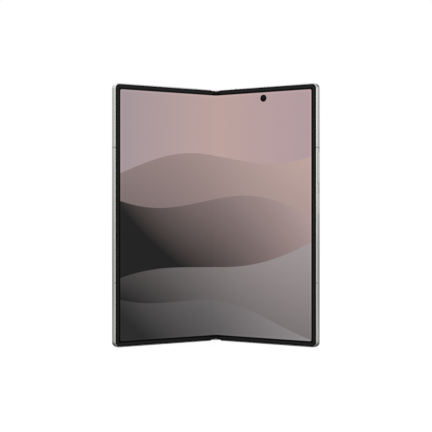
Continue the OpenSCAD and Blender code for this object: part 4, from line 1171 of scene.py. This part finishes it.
def make_back(side, node, name, slot, material):
    """A glass back from its CAD solid, with its edges rounded, and mapped in metres of the flat drawing."""
    mesh = copy_of(node)
    soften(mesh, 0.12 * MM, segments=3)
    piece(
        name, mesh, HALF_BODY[side], slot, material_named(material), stands_for=(node,), turn_out=False,
        uvs=[(point.x, point.z) for point in flat_points(mesh.verts, side)],
    )


def make_softened(node, body, name, width, angle=40):
    """An alloy piece from its CAD solid, with its sharp edges rounded."""
    mesh = copy_of(node)
    soften(mesh, width, angle)
    piece(name, mesh, body, "satin_alloy", material_named("alloy"), stands_for=(node,), turn_out=False)


def spine_outline(radius):
    """Half-round section of the spine about both fold axes, open towards the screen."""
    depth = sizes().axis_depth
    right = arc((AXIS_X, depth), radius, 0, 90, 16)
    return right + [(-x, y) for x, y in reversed(right)]


def make_spine():
    """The half-round spine cover between its two end caps."""
    s = sizes()
    # Length of the spine that each end cap takes
    cap = 1.15 * MM
    outer = spine_outline(s.spine_radius)
    inner = spine_outline(s.spine_radius - s.spine_wall)
    ring = outer + inner[::-1]
    rings = [[(x, y, z) for x, y in ring] for z in (cap, s.height - cap)]
    piece(
        "spine_shell", loft(rings), "spine", "satin_alloy", material_named("alloy"), place=spine_place(),
        stands_for=("spine_cover",),
    )
    make_softened("spine_end_caps", "spine", "spine_caps", 0.05 * MM, 60)


# ---------- cameras ----------


# Radius of each rear camera's front element, from the lowest up
ELEMENT_R = (2.5 * MM, 3.1 * MM, 2.8 * MM)
CAMERAS = len(ELEMENT_R)
# Radius of a lens ring's rounded edge, and the room between a ring and its window
RING_ROUND, RING_ROOM = 0.3 * MM, 0.05 * MM
# Rear cameras: clear radius under the window, the well's depth, and where behind the screen the barrel ends
REAR_CLEAR, REAR_WELL, REAR_BARREL_END = 4.2 * MM, 1.5 * MM, 3.55 * MM
# Depth behind the screen where a rear camera's body ends, and rounding of its corners
REAR_BODY_END, REAR_BODY_ROUND = 3.5 * MM, 0.8 * MM
# Small cameras: clear and element radius as shares of the window's, the window's thickness and the well's depth
SMALL_CLEAR, SMALL_ELEMENT, SMALL_WINDOW, SMALL_WELL = 0.5, 0.4, 0.25 * MM, 0.7 * MM
SMALL_BODY_ROUND = 0.5 * MM


def turned(name, side, x, z, profile, slot, *materials, stands_for=(), scale=1.0, sort=None):
    """A turned piece of a half. Its map holds the depth, and the radius over a scale."""
    closed = profile[0][0] > 0
    mesh = ring_lathe(x, z, profile) if closed else lathe(x, z, profile)
    uvs = [(vertex.co.y, math.hypot(vertex.co.x - x, vertex.co.z - z) / scale) for vertex in mesh.verts]
    piece(
        name, mesh, HALF_BODY[side], slot, *materials,
        place=half_place(side), stands_for=stands_for, uvs=uvs, sort=sort,
    )


def dome(radius, rise, count):
    """Points of a shallow dome from its edge in to its axis, as (radius, height above the edge)."""
    ball = (radius**2 + rise**2) / (2 * rise)
    points = []
    for k in range(count + 1):
        r = radius * (1 - k / count)
        points.append((r, math.sqrt(ball**2 - r**2) - (ball - rise)))
    return points


def make_lens(name, side, x, z, front, out, sizes_of, stands_for, glass="lens_glass"):
    """A camera behind its window. front is the window's depth, and out is 1 where it looks out of the back.

    sizes_of holds the radius of the window, of the barrel's clear end and of the element, then the depth of the
    barrel, of the window and of the well between window and element.
    """
    bore, clear, element, deep, window_t, well = sizes_of

    def at(r, d):
        return (r, front - out * d)

    window = [at(0, 0), at(bore - 0.1 * MM, 0), at(bore - 0.03 * MM, 0.03 * MM), at(bore, 0.1 * MM)]
    window += [at(bore, window_t), at(0, window_t)]
    turned(
        "window_" + name, side, x, z, window, "lens_glass", material_named(glass),
        stands_for=stands_for[:1], scale=bore,
    )
    # The barrel steps in under the window, as light traps do, to the floor that the element stands on
    under = window_t + 0.02 * MM
    floor = under + well
    barrel = [at(0, floor), at(element, floor)]
    traps = 4
    rise, run = (floor - under) / traps, (clear - element) / traps
    for k in range(traps):
        r = element + (clear - element) * k / traps
        d = floor - (floor - under) * k / traps
        barrel += [at(r + 0.02 * MM, d - rise), at(r + run, d - rise)]
    wall = bore - 0.3 * MM if bore > 3 * MM else bore - 0.02 * MM
    barrel += [at(clear, under), at(wall, under), at(wall, deep), at(0, deep)]
    lip = at(0, under)[1]
    turned(
        "barrel_" + name, side, x, z, barrel, "camera_black", material_named("matt_black"), material_named("ink"),
        stands_for=stands_for[1:], sort=lambda face: 1 if abs(face_depth(face) - lip) < 0.005 * MM else 0,
    )
    foot = at(0, floor - 0.02 * MM)
    bulge = [at(r, floor - 0.35 * well - h) for r, h in dome(element, 0.3 * element, 12)]
    bulge = bulge[::-1] + [(element, foot[1]), foot]
    turned("element_" + name, side, x, z, bulge, "lens_glass", material_named("element"), scale=element)


def make_can(name, side, x, z, half_side, rounding, profile, node):
    """The square metal can round a camera. profile is the can's edge, as (inset, depth)."""
    stations = rounded_outline(x - half_side, x + half_side, z - half_side, z + half_side, rounding, 6)
    piece(
        name, pillow(stations, profile), HALF_BODY[side], "camera_black", material_named("shield"),
        place=half_place(side), stands_for=(node,),
    )


def make_cameras():
    """The three rear cameras in a row, each with its ring, window, lens and can."""
    low, high = flat_box("lens_rings", RIGHT)
    first, last = flat_box("lens_windows", RIGHT)
    x, ring, bore = (low.x + high.x) / 2, (high.x - low.x) / 2, (last.x - first.x) / 2
    pitch = (high.z - low.z - 2 * ring) / (CAMERAS - 1)
    body_low, body_high = flat_box("camera_modules", RIGHT)
    body_w = (body_high.z - body_low.z - (CAMERAS - 1) * pitch) / 2
    hole, shoulder = bore + RING_ROOM, high.y - RING_ROUND
    profile = [(hole, low.y), (ring, low.y), (ring, shoulder)]
    profile += [(ring - RING_ROUND + px, shoulder + py) for px, py in arc((0, 0), RING_ROUND, 15, 90, 5)]
    # A fine groove and a slope down to the window
    profile += [(hole + 0.75 * MM, high.y), (hole + 0.7 * MM, high.y - 0.05 * MM)]
    profile += [(hole + 0.35 * MM, high.y - 0.05 * MM), (hole + 0.02 * MM, shoulder)]
    front = body_low.y
    can = [
        (0.1 * MM, front), (0.0, front + 0.1 * MM), (0.0, REAR_BODY_END - 0.2 * MM), (0.2 * MM, REAR_BODY_END),
    ]
    for i in range(CAMERAS):
        z = low.z + ring + i * pitch
        label = str(i + 1)
        turned(
            "lens_ring_" + label, RIGHT, x, z, profile, "ring_alloy", material_named("turned_ring"),
            stands_for=("lens_rings",),
        )
        make_lens(
            "rear_" + label, RIGHT, x, z, last.y, 1,
            (bore, REAR_CLEAR, ELEMENT_R[i], last.y - REAR_BARREL_END, last.y - first.y, REAR_WELL),
            ("lens_windows", "camera_modules"),
        )
        make_can("camera_body_" + label, RIGHT, x, z, body_w, REAR_BODY_ROUND, can, "camera_modules")


def make_small_cameras():
    """The camera in the screen and the one in the cover glass."""
    # Each with its side, the way it looks out and the length of its barrel
    rows = (
        ("inner", "inner_camera", RIGHT, -1, 1.4 * MM),
        ("cover", "cover_camera", LEFT, 1, 1.2 * MM),
    )
    for name, node, side, out, barrel in rows:
        low, high = flat_box(node, side)
        # The body is as wide as the node, and the round barrel is all that reaches the surface
        front = high.y if out > 0 else low.y
        points = flat_points(NODES[node].data.vertices, side)
        rim_low, rim_high = box_of([point for point in points if abs(point.y - front) < 0.01 * MM])
        bore = (rim_high.x - rim_low.x) / 2
        x, z = (low.x + high.x) / 2, (low.z + high.z) / 2
        make_lens(
            name, side, x, z, front, out,
            (bore, SMALL_CLEAR * bore, SMALL_ELEMENT * bore, barrel, SMALL_WINDOW, SMALL_WELL),
            (node, node), "coated_window_painted_reflection",
        )
        start, end = (low.y, front - barrel) if out > 0 else (front + barrel, high.y)
        can = [(0.1 * MM, start), (0.0, start + 0.1 * MM), (0.0, end - 0.1 * MM), (0.1 * MM, end)]
        make_can("camera_can_" + name, side, x, z, (high.x - low.x) / 2, SMALL_BODY_ROUND, can, node)


def make_flash():
    """The flash: a ridged flat lens over two pale yellow chips in a white cup."""
    low, high = flat_box("flash_window", RIGHT)
    x, z, r = (low.x + high.x) / 2, (low.z + high.z) / 2, (high.x - low.x) / 2
    front, ridges, ridged_share = high.y, 7, 0.78
    crest, root, back = front - 0.02 * MM, front - 0.12 * MM, front - 0.5 * MM
    lens = [(0, crest)]
    for k in range(ridges):
        step = ridged_share * r / ridges
        lens += [((k + 0.95) * step, root), ((k + 1) * step, crest)]
    lens += [(r - 0.12 * MM, crest), (r - 0.03 * MM, front - 0.06 * MM), (r, front - 0.15 * MM)]
    lens += [(r, back), (0, back)]
    turned(
        "flash_lens", RIGHT, x, z, lens, "flash_plastic", material_named("diffuser"), stands_for=("flash_window",)
    )
    floor, brim = low.y + 0.3 * MM, front - 0.52 * MM
    cup = [(0, floor), (0.55 * r, floor), (r - 0.15 * MM, brim), (r, brim), (r, low.y), (0, low.y)]
    turned(
        "flash_cup", RIGHT, x, z, cup, "flash_plastic", material_named("white_cup"), stands_for=("flash_window",)
    )
    # Half the side of a chip, how far its middle is from the flash's, and its height
    half, apart, tall = 0.5 * MM, 0.62 * MM, 0.2 * MM
    for way, label in ((-1, "low"), (1, "high")):
        middle = z + way * apart
        stations = rounded_outline(x - half, x + half, middle - half, middle + half, 0.1 * MM, 3)
        chip = [(0.0, floor), (0.0, floor + tall), (0.05 * MM, floor + tall + 0.05 * MM)]
        piece(
            "flash_chip_" + label, pillow(stations, chip), "right_half", "flash_plastic",
            material_named("phosphor"), place=half_place(RIGHT), stands_for=("flash_window",),
        )


# ---------- what shows in the edges ----------


def contact_growth(material):
    """A row of flat contacts along x, on the points it is given."""
    tree, values, result = growth(
        "contact_row", Count=12, Pitch=0.5 * MM, Width=0.25 * MM, Length=3.6 * MM, Thickness=0.03 * MM
    )
    span = add(tree, "ShaderNodeMath", {0: values["Count"], 1: 1.0}, operation="SUBTRACT")
    span = add(tree, "ShaderNodeMath", {0: span.outputs[0], 1: values["Pitch"]}, operation="MULTIPLY")
    start = add(tree, "ShaderNodeMath", {0: span.outputs[0], 1: -0.5}, operation="MULTIPLY")
    begin = add(tree, "ShaderNodeCombineXYZ", {"X": start.outputs[0]})
    step = add(tree, "ShaderNodeCombineXYZ", {"X": values["Pitch"]})
    row = add(
        tree, "GeometryNodeMeshLine",
        {"Count": values["Count"], "Start Location": begin.outputs[0], "Offset": step.outputs[0]},
    )
    size = add(tree, "ShaderNodeCombineXYZ", {"X": values["Width"], "Y": values["Thickness"], "Z": values["Length"]})
    contact = add(tree, "GeometryNodeMeshCube", {"Size": size.outputs[0]})
    strip = add(tree, "GeometryNodeInstanceOnPoints", {"Points": row.outputs[0], "Instance": contact.outputs[0]})
    rows = add(tree, "GeometryNodeInstanceOnPoints", {"Points": values[0], "Instance": strip.outputs[0]})
    finish_growth(tree, rows.outputs[0], result, material)
    return tree


# The contacts' place up the port's tongue and their length, as shares of its own
CONTACT_PLACE, CONTACT_SHARE = 0.55, 0.7


def make_port():
    """The port's tongue with a row of contacts on each face."""
    low, high = flat_box("port_tongue", RIGHT)
    middle, length = (low.x + high.x) / 2, high.z - low.z
    tree = contact_growth(material_named("gold"))
    z = low.z + CONTACT_PLACE * length
    points = [(middle, low.y, z), (middle, high.y, z)]
    strips = grow("port_contacts", tree, points, half_place(RIGHT), Length=CONTACT_SHARE * length)
    settle(strips, "right_half")
    dress("port_tongue", material_named("black_mould"))


def mesh_growth(material):
    """A patch of wire mesh across the edge of the phone, on each point it is given."""
    tree, values, result = growth("wire_mesh", Length=1.9 * MM, Width=1.1 * MM, Pitch=0.2 * MM, Wire=0.04 * MM)
    counts = []
    for reach in ("Length", "Width"):
        count = add(tree, "ShaderNodeMath", {0: values[reach], 1: values["Pitch"]}, operation="DIVIDE")
        counts.append(add(tree, "ShaderNodeMath", {0: count.outputs[0], 1: 1.0}, operation="ADD").outputs[0])
    net = add(
        tree, "GeometryNodeMeshGrid",
        {"Size X": values["Length"], "Size Y": values["Width"], "Vertices X": counts[0], "Vertices Y": counts[1]},
    )
    lines = add(tree, "GeometryNodeMeshToCurve", {"Mesh": net.outputs[0]})
    section = add(tree, "GeometryNodeCurvePrimitiveCircle", {"Resolution": 4, "Radius": values["Wire"]})
    wires = add(tree, "GeometryNodeCurveToMesh", {"Curve": lines.outputs[0], "Profile Curve": section.outputs[0]})
    patches = add(tree, "GeometryNodeInstanceOnPoints", {"Points": values[0], "Instance": wires.outputs[0]})
    finish_growth(tree, patches.outputs[0], result, material)
    return tree


# The slots in the frames: their count, their spacing and their depth behind the screen
GRILLE_SLOTS = 6
GRILLE_PITCH = 2.6 * MM
GRILLE_DEPTH = 2.3 * MM
# How far the mesh lies in from the edge
MESH_BEHIND = 0.75 * MM


def make_grilles():
    """Wire mesh behind the slots of the loudspeaker and of the earpiece."""
    tree = mesh_growth(material_named("steel_wire"))
    rows = ((RIGHT, "loudspeaker", MESH_BEHIND), (LEFT, "earpiece_speaker", sizes().height - MESH_BEHIND))
    for side, node, z in rows:
        low, high = flat_box(node, side)
        middle = (low.x + high.x) / 2
        points = [
            (middle + (i - (GRILLE_SLOTS - 1) / 2) * GRILLE_PITCH, GRILLE_DEPTH, z) for i in range(GRILLE_SLOTS)
        ]
        patches = grow("grille_mesh_" + SIDE_NAME[side], tree, points, half_place(side))
        settle(patches, HALF_BODY[side])


# ---------- inner parts ----------


def coil_growth(material):
    """A flat coil of round wire in the plane of x and z, on each point it is given."""
    tree, values, result = growth("flat_coil", Inner=10.5 * MM, Outer=21.0 * MM, Wire=0.2 * MM, Turns=24)
    span = add(tree, "GeometryNodeCurveSpiral", {
        "Resolution": 48, "Rotations": values["Turns"], "Start Radius": values["Inner"], "End Radius": values["Outer"],
        "Height": 0.0,
    })
    section = add(tree, "GeometryNodeCurvePrimitiveCircle", {"Resolution": 6, "Radius": values["Wire"]})
    wire = add(tree, "GeometryNodeCurveToMesh", {
        "Curve": span.outputs[0], "Profile Curve": section.outputs[0], "Fill Caps": True,
    })
    coils = add(tree, "GeometryNodeInstanceOnPoints", {
        "Points": values[0], "Instance": wire.outputs[0], "Rotation": (math.pi / 2, 0.0, 0.0),
    })
    finish_growth(tree, coils.outputs[0], result, material)
    return tree


# Spacing of the coil's turns, in wire radii, and the room left over and under the wire
COIL_SPACING, COIL_ROOM = 2.1, 0.01 * MM


def make_coil():
    """The charging coil, wound from half its radius out."""
    low, high = flat_box("charging_coil", RIGHT)
    middle = (low + high) / 2
    outer, wire = (high.x - low.x) / 2, (high.y - low.y) / 2 - COIL_ROOM
    tree = coil_growth(material_named("copper"))
    coil = grow(
        "coil_winding", tree, [middle], half_place(RIGHT), Inner=outer / 2, Outer=outer - wire, Wire=wire,
        Turns=int(outer / 2 / (COIL_SPACING * wire)),
    )
    settle(coil, "right_half", ("charging_coil",))


def screw_growth(material):
    """Small screws with a hexagonal socket, with their heads towards -y, on the points under their heads."""
    tree, values, result = growth(
        "socket_screws", Head=0.75 * MM, Head_height=0.2 * MM, Shank=0.35 * MM, Shank_length=0.7 * MM, Socket=0.35 * MM
    )

    def shifted(part, span, share):
        """A part moved along the screw by a share of a length."""
        way = add(tree, "ShaderNodeMath", {0: span, 1: share}, operation="MULTIPLY")
        move = add(tree, "ShaderNodeCombineXYZ", {"Z": way.outputs[0]})
        return add(
            tree, "GeometryNodeTransform", {"Geometry": part.outputs[0], "Translation": move.outputs[0]}
        ).outputs[0]

    head, socket, shank = [
        add(tree, "GeometryNodeMeshCylinder", {"Vertices": sides, "Radius": values[width], "Depth": values[span]})
        for sides, width, span in (
            (32, "Head", "Head_height"), (6, "Socket", "Head_height"), (16, "Shank", "Shank_length")
        )
    ]
    # The socket goes most of the way into the head, which then stands on its seat with the shank below
    cut = add(
        tree, "GeometryNodeMeshBoolean",
        {"Mesh 1": head.outputs[0], "Mesh 2": shifted(socket, values["Head_height"], 0.4)},
        operation="DIFFERENCE", solver="EXACT",
    )
    whole = add(tree, "GeometryNodeJoinGeometry", {0: shifted(cut, values["Head_height"], 0.5)})
    tree.links.new(shifted(shank, values["Shank_length"], -0.5), whole.inputs[0])
    screws = add(tree, "GeometryNodeInstanceOnPoints", {
        "Points": values[0], "Instance": whole.outputs[0], "Rotation": (math.pi / 2, 0.0, 0.0),
    })
    finish_growth(tree, screws.outputs[0], result, material)
    return tree


def make_screws():
    """The screws that hold the brackets and the hinge bases, where their CAD solids stand."""
    tree = screw_growth(material_named("black_oxide"))
    # Each node with its drawing, its body and the height of its heads
    rows = (
        ("left_bracket_screws", half_place(LEFT), "left_half", 0.2 * MM),
        ("right_bracket_screws", half_place(RIGHT), "right_half", 0.2 * MM),
        ("base_screws", spine_place(), "spine", 0.25 * MM),
    )
    for node, place, body, head_t in rows:
        boxes = separate_boxes(node, place)
        points = [((low.x + high.x) / 2, low.y + head_t, (low.z + high.z) / 2) for low, high in boxes]
        low, high = boxes[0]
        screws = grow(
            node + "_socketed", tree, points, place, Head=(high.x - low.x) / 2, Head_height=head_t,
            Shank_length=high.y - low.y - head_t,
        )
        settle(screws, body, (node,))


def make_cables():
    """The ribbon cables that cross the spine, cut at the fold plane into one piece for each side."""
    for side in (LEFT, RIGHT):
        mesh = copy_of("hinge_flex_cables")
        bmesh.ops.bisect_plane(
            mesh, geom=mesh.verts[:] + mesh.edges[:] + mesh.faces[:], plane_co=(0, 0, 0), plane_no=(-side, 0, 0),
            clear_outer=True,
        )
        bmesh.ops.holes_fill(mesh, edges=[edge for edge in mesh.edges if edge.is_boundary])
        made = piece(
            "ribbon_cable_" + SIDE_NAME[side], mesh, None, "polyimide_flex", material_named("track_film"),
            stands_for=("hinge_flex_cables",), angle=50,
        )
        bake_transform(made)


# ---------- stage ----------


# The photograph's side, and the focal length, horizon and fold that a perspective fit to it gave, all in pixels
PHOTO = 432
FOCAL_PX = 1088.0
HORIZON_PX = 215.22
FOLD_PX = 215.85
# Distance of the camera in front of the fold, from the same fit
CAMERA_AHEAD = 687.1 * MM
SENSOR = 36.0


def make_camera():
    """The camera at the photograph's place: level, at half the phone's height, square to the fold."""
    data = bpy.data.cameras.new("camera")
    data.sensor_width = SENSOR
    data.lens = FOCAL_PX / PHOTO * SENSOR
    data.shift_x = (PHOTO / 2 - FOLD_PX) / PHOTO
    data.shift_y = (HORIZON_PX - PHOTO / 2) / PHOTO
    camera = bpy.data.objects.new("camera", data)
    camera.location = (0, AXIS_Y - sizes().axis_depth - CAMERA_AHEAD, sizes().height / 2)
    camera.rotation_euler = (math.pi / 2, 0, 0)
    bpy.context.scene.collection.objects.link(camera)
    bpy.context.scene.camera = camera


def ray_kinds(tree):
    """Two switches: 1 for rays that metal and glass send out, which see a studio, and 1 for the camera's own."""
    rays = add(tree, "ShaderNodeLightPath")
    kinds = {0: rays.outputs["Is Glossy Ray"], 1: rays.outputs["Is Transmission Ray"]}
    mirrored = add(tree, "ShaderNodeMath", kinds, operation="MAXIMUM")
    return mirrored.outputs[0], rays.outputs["Is Camera Ray"]


# Strength of the even light from all round
SKY_LIGHT = 0.62


def make_world():
    """White to the camera, and to metal and glass a pale studio: brightest in a band just over the horizon."""
    world = bpy.data.worlds.new("studio")
    bpy.context.scene.world = world
    world.use_nodes = True
    tree = world.node_tree
    tree.nodes.clear()
    mirrored, camera = ray_kinds(tree)
    light = add(tree, "ShaderNodeBackground", {"Color": linear("#FFFFFF"), "Strength": SKY_LIGHT})
    way = add(tree, "ShaderNodeSeparateXYZ", {"Vector": add(tree, "ShaderNodeTexCoord").outputs["Generated"]})
    height = add(tree, "ShaderNodeMapRange", {"Value": way.outputs["Z"], "From Min": -1.0, "From Max": 1.0})
    walls = ramp(
        tree,
        height.outputs["Result"],
        (0.40, "#A0A0A0"),
        (0.50, "#D8D9D8"),
        (0.56, "#F6F7F6"),
        (0.64, "#E4E5E4"),
        (0.70, "#7A7B7A"),
        (0.82, "#8C8C8C"),
        (0.92, "#E0E0E0"),
    )
    studio = add(tree, "ShaderNodeBackground", {"Color": walls, "Strength": 1.0})
    white = add(tree, "ShaderNodeBackground", {"Color": linear("#FFFFFF"), "Strength": 1.0})
    mixed = add(tree, "ShaderNodeMixShader", {0: mirrored, 1: light.outputs[0], 2: studio.outputs[0]})
    mixed = add(tree, "ShaderNodeMixShader", {0: camera, 1: mixed.outputs[0], 2: white.outputs[0]})
    output = add(tree, "ShaderNodeOutputWorld")
    tree.links.new(mixed.outputs[0], output.inputs["Surface"])


# Half the floor's side
FLOOR_REACH = 3.0
# The floor's own light to the camera, its share there, and the share of its tones in metal and glass
FLOOR_GLOW, GLOW_SHARE, TONE_SHARE = 1.12, 0.8, 0.78
# Where the floor goes from pale to darker, from front to back
TONE_START, TONE_END = -0.15, 0.2
# The painted shadow behind the phone, a dark strip that only metal and glass see: where it starts in front of the
# screen, and where it ends behind
SHADOW_STRIP_START, SHADOW_STRIP_END = -5 * MM, 25 * MM


def behind_phone(tree, place):
    """How far a point of the floor lies behind the line from the fold that the half on its side stands along."""
    aside = add(tree, "ShaderNodeMath", {0: place.outputs["X"]}, operation="ABSOLUTE")
    aside = add(tree, "ShaderNodeMath", {0: aside.outputs[0], 1: math.sin(TURN)}, operation="MULTIPLY")
    along = {0: place.outputs["Y"], 1: math.cos(TURN), 2: aside.outputs[0]}
    return add(tree, "ShaderNodeMath", along, operation="MULTIPLY_ADD").outputs[0]


def make_floor():
    """A white floor that keeps a faint shadow of the phone.

    Its tones in metal and glass are set to give the frame's edges the photograph's contrast. A painted shadow, a dark
    strip that only metal and glass see in the floor, stays where the halves stand at rest.
    """
    mesh = bpy.data.meshes.new("floor")
    r = FLOOR_REACH
    mesh.from_pydata([(-r, -r, 0), (r, -r, 0), (r, r, 0), (-r, r, 0)], [], [(0, 1, 2, 3)])
    floor = bpy.data.objects.new("floor", mesh)
    bpy.context.scene.collection.objects.link(floor)
    material, tree, principled = finish(
        "white_floor", Base_Color=linear("#F2F2F2"), Roughness=0.9, Specular_IOR_Level=0.0
    )
    mirrored, camera = ray_kinds(tree)
    white = add(tree, "ShaderNodeEmission", {"Color": linear("#FFFFFF"), "Strength": FLOOR_GLOW})
    place = add(tree, "ShaderNodeSeparateXYZ", {"Vector": add(tree, "ShaderNodeTexCoord").outputs["Object"]})
    depth = {"Value": place.outputs["Y"], "From Min": TONE_START, "From Max": TONE_END}
    back = add(tree, "ShaderNodeMapRange", depth)
    tone = ramp(tree, back.outputs["Result"], (0.0, "#E2E2E2"), (1.0, "#8A8A8A"))
    screen = (AXIS_Y - sizes().axis_depth) * math.cos(TURN)
    strip = {
        "Value": behind_phone(tree, place), "From Min": screen + SHADOW_STRIP_START, "From Max": screen + SHADOW_STRIP_END,
    }
    away = add(tree, "ShaderNodeMapRange", strip)
    # The painted shadow: in metal and glass the floor's glow falls nearly to black in a strip behind the phone
    near = ramp(
        tree,
        away.outputs["Result"],
        (0.0, "#FFFFFF"),
        (0.16, "#1C1C1C"),
        (0.45, "#1C1C1C"),
        (1.0, "#FFFFFF"),
    )
    # The floor as metal and glass see it: its tones, darkened by the painted shadow
    grey = add(tree, "ShaderNodeEmission", {"Color": tone, "Strength": near})
    shader = principled
    for kind, share, seen in ((camera, GLOW_SHARE, white), (mirrored, TONE_SHARE, grey)):
        share = add(tree, "ShaderNodeMath", {0: kind, 1: share}, operation="MULTIPLY")
        mix = {0: share.outputs[0], 1: shader.outputs[0], 2: seen.outputs[0]}
        shader = add(tree, "ShaderNodeMixShader", mix)
    output = next(node for node in tree.nodes if node.type == "OUTPUT_MATERIAL")
    tree.links.new(shader.outputs[0], output.inputs["Surface"])
    mesh.materials.append(material)


# Each lamp: name, place, side and power in watts
LAMPS = (
    ("key_lamp", (-0.7, -0.9, 1.1), 1.6, 7.0),
    ("fill_lamp", (0.9, -0.6, 0.7), 1.4, 3.0),
    ("back_lamp", (-0.35, 0.55, 0.6), 0.7, 1.6),
)
# The point that the lamps look at
LAMP_AIM = (0, 0, 0.08)


def make_lamp(name, place, size, power):
    """A square lamp that looks at the phone."""
    data = bpy.data.lights.new(name, "AREA")
    data.shape = "SQUARE"
    data.size = size
    data.energy = power
    lamp = bpy.data.objects.new(name, data)
    lamp.location = place
    lamp.rotation_euler = (Vector(LAMP_AIM) - Vector(place)).to_track_quat("-Z", "Y").to_euler()
    bpy.context.scene.collection.objects.link(lamp)


# ---------- operators ----------


class PHONE_OT_stage(bpy.types.Operator):
    """Makes the camera, the lamps, the floor and the white surroundings"""

    bl_idname = "phone.stage"
    bl_label = "Stage"

    def execute(self, context):
        make_camera()
        make_world()
        make_floor()
        for lamp in LAMPS:
            make_lamp(*lamp)
        context.scene.view_settings.view_transform = "Standard"
        return {"FINISHED"}


class PHONE_OT_screen(bpy.types.Operator):
    """Makes the folding screen with its picture, and the bend between the halves"""

    bl_idname = "phone.screen"
    bl_label = "Folding screen"

    def execute(self, context):
        for side in (LEFT, RIGHT):
            make_panel(side)
            make_bend(side)
            dress(SIDE_NAME[side] + "_support_plate", material_named("plate_steel"))
        return {"FINISHED"}


class PHONE_OT_bezel(bpy.types.Operator):
    """Makes the soft bezel of both halves and its strips over the bend"""

    bl_idname = "phone.bezel"
    bl_label = "Soft bezel"

    def execute(self, context):
        for side in (LEFT, RIGHT):
            make_bezel(side)
            make_bend_bezel(side)
        return {"FINISHED"}


class PHONE_OT_frames(bpy.types.Operator):
    """Finishes the alloy frames with their antenna bands"""

    bl_idname = "phone.frames"
    bl_label = "Frames"

    def execute(self, context):
        for side in (LEFT, RIGHT):
            make_frame(side)
        return {"FINISHED"}


class PHONE_OT_backs(bpy.types.Operator):
    """Makes the cover glass and the back glass"""

    bl_idname = "phone.backs"
    bl_label = "Glass backs"

    def execute(self, context):
        make_back(LEFT, "cover_glass", "cover_pane", "cover_glass", "cover_pane")
        make_back(RIGHT, "back_glass", "back_pane", "back_glass", "frosted_glass")
        return {"FINISHED"}


class PHONE_OT_cameras(bpy.types.Operator):
    """Makes the rear cameras with their rings and island, the flash, and the two small cameras"""

    bl_idname = "phone.cameras"
    bl_label = "Cameras"

    def execute(self, context):
        make_softened("camera_island", "right_half", "camera_island_plate", 0.12 * MM, 50)
        make_cameras()
        make_small_cameras()
        make_flash()
        return {"FINISHED"}


class PHONE_OT_edges(bpy.types.Operator):
    """Makes the keys, the card tray, the port and the speaker meshes"""

    bl_idname = "phone.edges"
    bl_label = "Keys, tray, port and grilles"

    def execute(self, context):
        make_softened("volume_key", "volume_key", "volume_rocker", 0.04 * MM)
        make_softened("side_key", "side_key", "side_button", 0.04 * MM)
        make_softened("card_tray", "card_tray", "card_drawer", 0.03 * MM, 60)
        make_port()
        make_grilles()
        return {"FINISHED"}


class PHONE_OT_spine(bpy.types.Operator):
    """Makes the spine cover and its end caps"""

    bl_idname = "phone.spine"
    bl_label = "Spine"

    def execute(self, context):
        make_spine()
        return {"FINISHED"}


# The finish of each CAD node that shows as it is
NODE_FINISHES = {
    "hinge_bases": "hinge_steel",
    "friction_springs": "spring_steel",
    "friction_washers": "bronze",
    "idler_gears_left": "gear_steel",
    "idler_gears_right": "gear_steel",
    "swing_arms_left": "hinge_steel",
    "swing_arms_right": "hinge_steel",
    "gear_shafts_left": "gear_steel",
    "gear_shafts_right": "gear_steel",
    "rotating_brackets_left": "hinge_steel",
    "rotating_brackets_right": "hinge_steel",
    "cover_display": "black_glass",
    "left_battery": "battery",
    "right_battery": "battery",
    "left_upper_board": "board",
    "left_lower_board": "board",
    "main_board": "board",
    "port_board": "board",
    "card_reader": "shield",
    "board_shields": "shield",
    "vibration_motor": "shield",
    "charging_port": "shield",
    "earpiece_speaker": "black_mould",
    "loudspeaker": "black_mould",
    "key_switches": "gold",
}


class PHONE_OT_inside(bpy.types.Operator):
    """Makes the cables, the coil and the screws, and finishes the other inner parts"""

    bl_idname = "phone.inside"
    bl_label = "Inner parts"

    def execute(self, context):
        for node, key in NODE_FINISHES.items():
            dress(node, material_named(key))
        make_cables()
        make_coil()
        make_screws()
        return {"FINISHED"}


STEPS = (
    PHONE_OT_stage,
    PHONE_OT_screen,
    PHONE_OT_bezel,
    PHONE_OT_frames,
    PHONE_OT_backs,
    PHONE_OT_cameras,
    PHONE_OT_edges,
    PHONE_OT_spine,
    PHONE_OT_inside,
)


class PHONE_PT_parts(bpy.types.Panel):
    """Lists the phone's parts in the sidebar"""

    bl_idname = "PHONE_PT_parts"
    bl_label = "Folding Phone"
    bl_space_type = "VIEW_3D"
    bl_region_type = "UI"
    bl_category = "Phone"

    def draw(self, context):
        for step in STEPS:
            self.layout.operator(step.bl_idname)
        for group in (context.scene.phone_sizes, context.scene.phone_colours):
            box = self.layout.box()
            for name in group.__annotations__:
                box.prop(group, name)


CLASSES = (PhoneSizes, PhoneColours, *STEPS, PHONE_PT_parts)


def register():
    """Registers the classes and puts the settings on the scene."""
    for cls in CLASSES:
        bpy.utils.register_class(cls)
    bpy.types.Scene.phone_sizes = bpy.props.PointerProperty(type=PhoneSizes)
    bpy.types.Scene.phone_colours = bpy.props.PointerProperty(type=PhoneColours)


def unregister():
    """Takes away what register() put in place."""
    del bpy.types.Scene.phone_colours
    del bpy.types.Scene.phone_sizes
    for cls in reversed(CLASSES):
        bpy.utils.unregister_class(cls)


def main():
    """Registers the add-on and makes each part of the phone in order."""
    register()
    for step in STEPS:
        group, name = step.bl_idname.split(".")
        getattr(getattr(bpy.ops, group), name)()


if __name__ == "__main__":
    main()
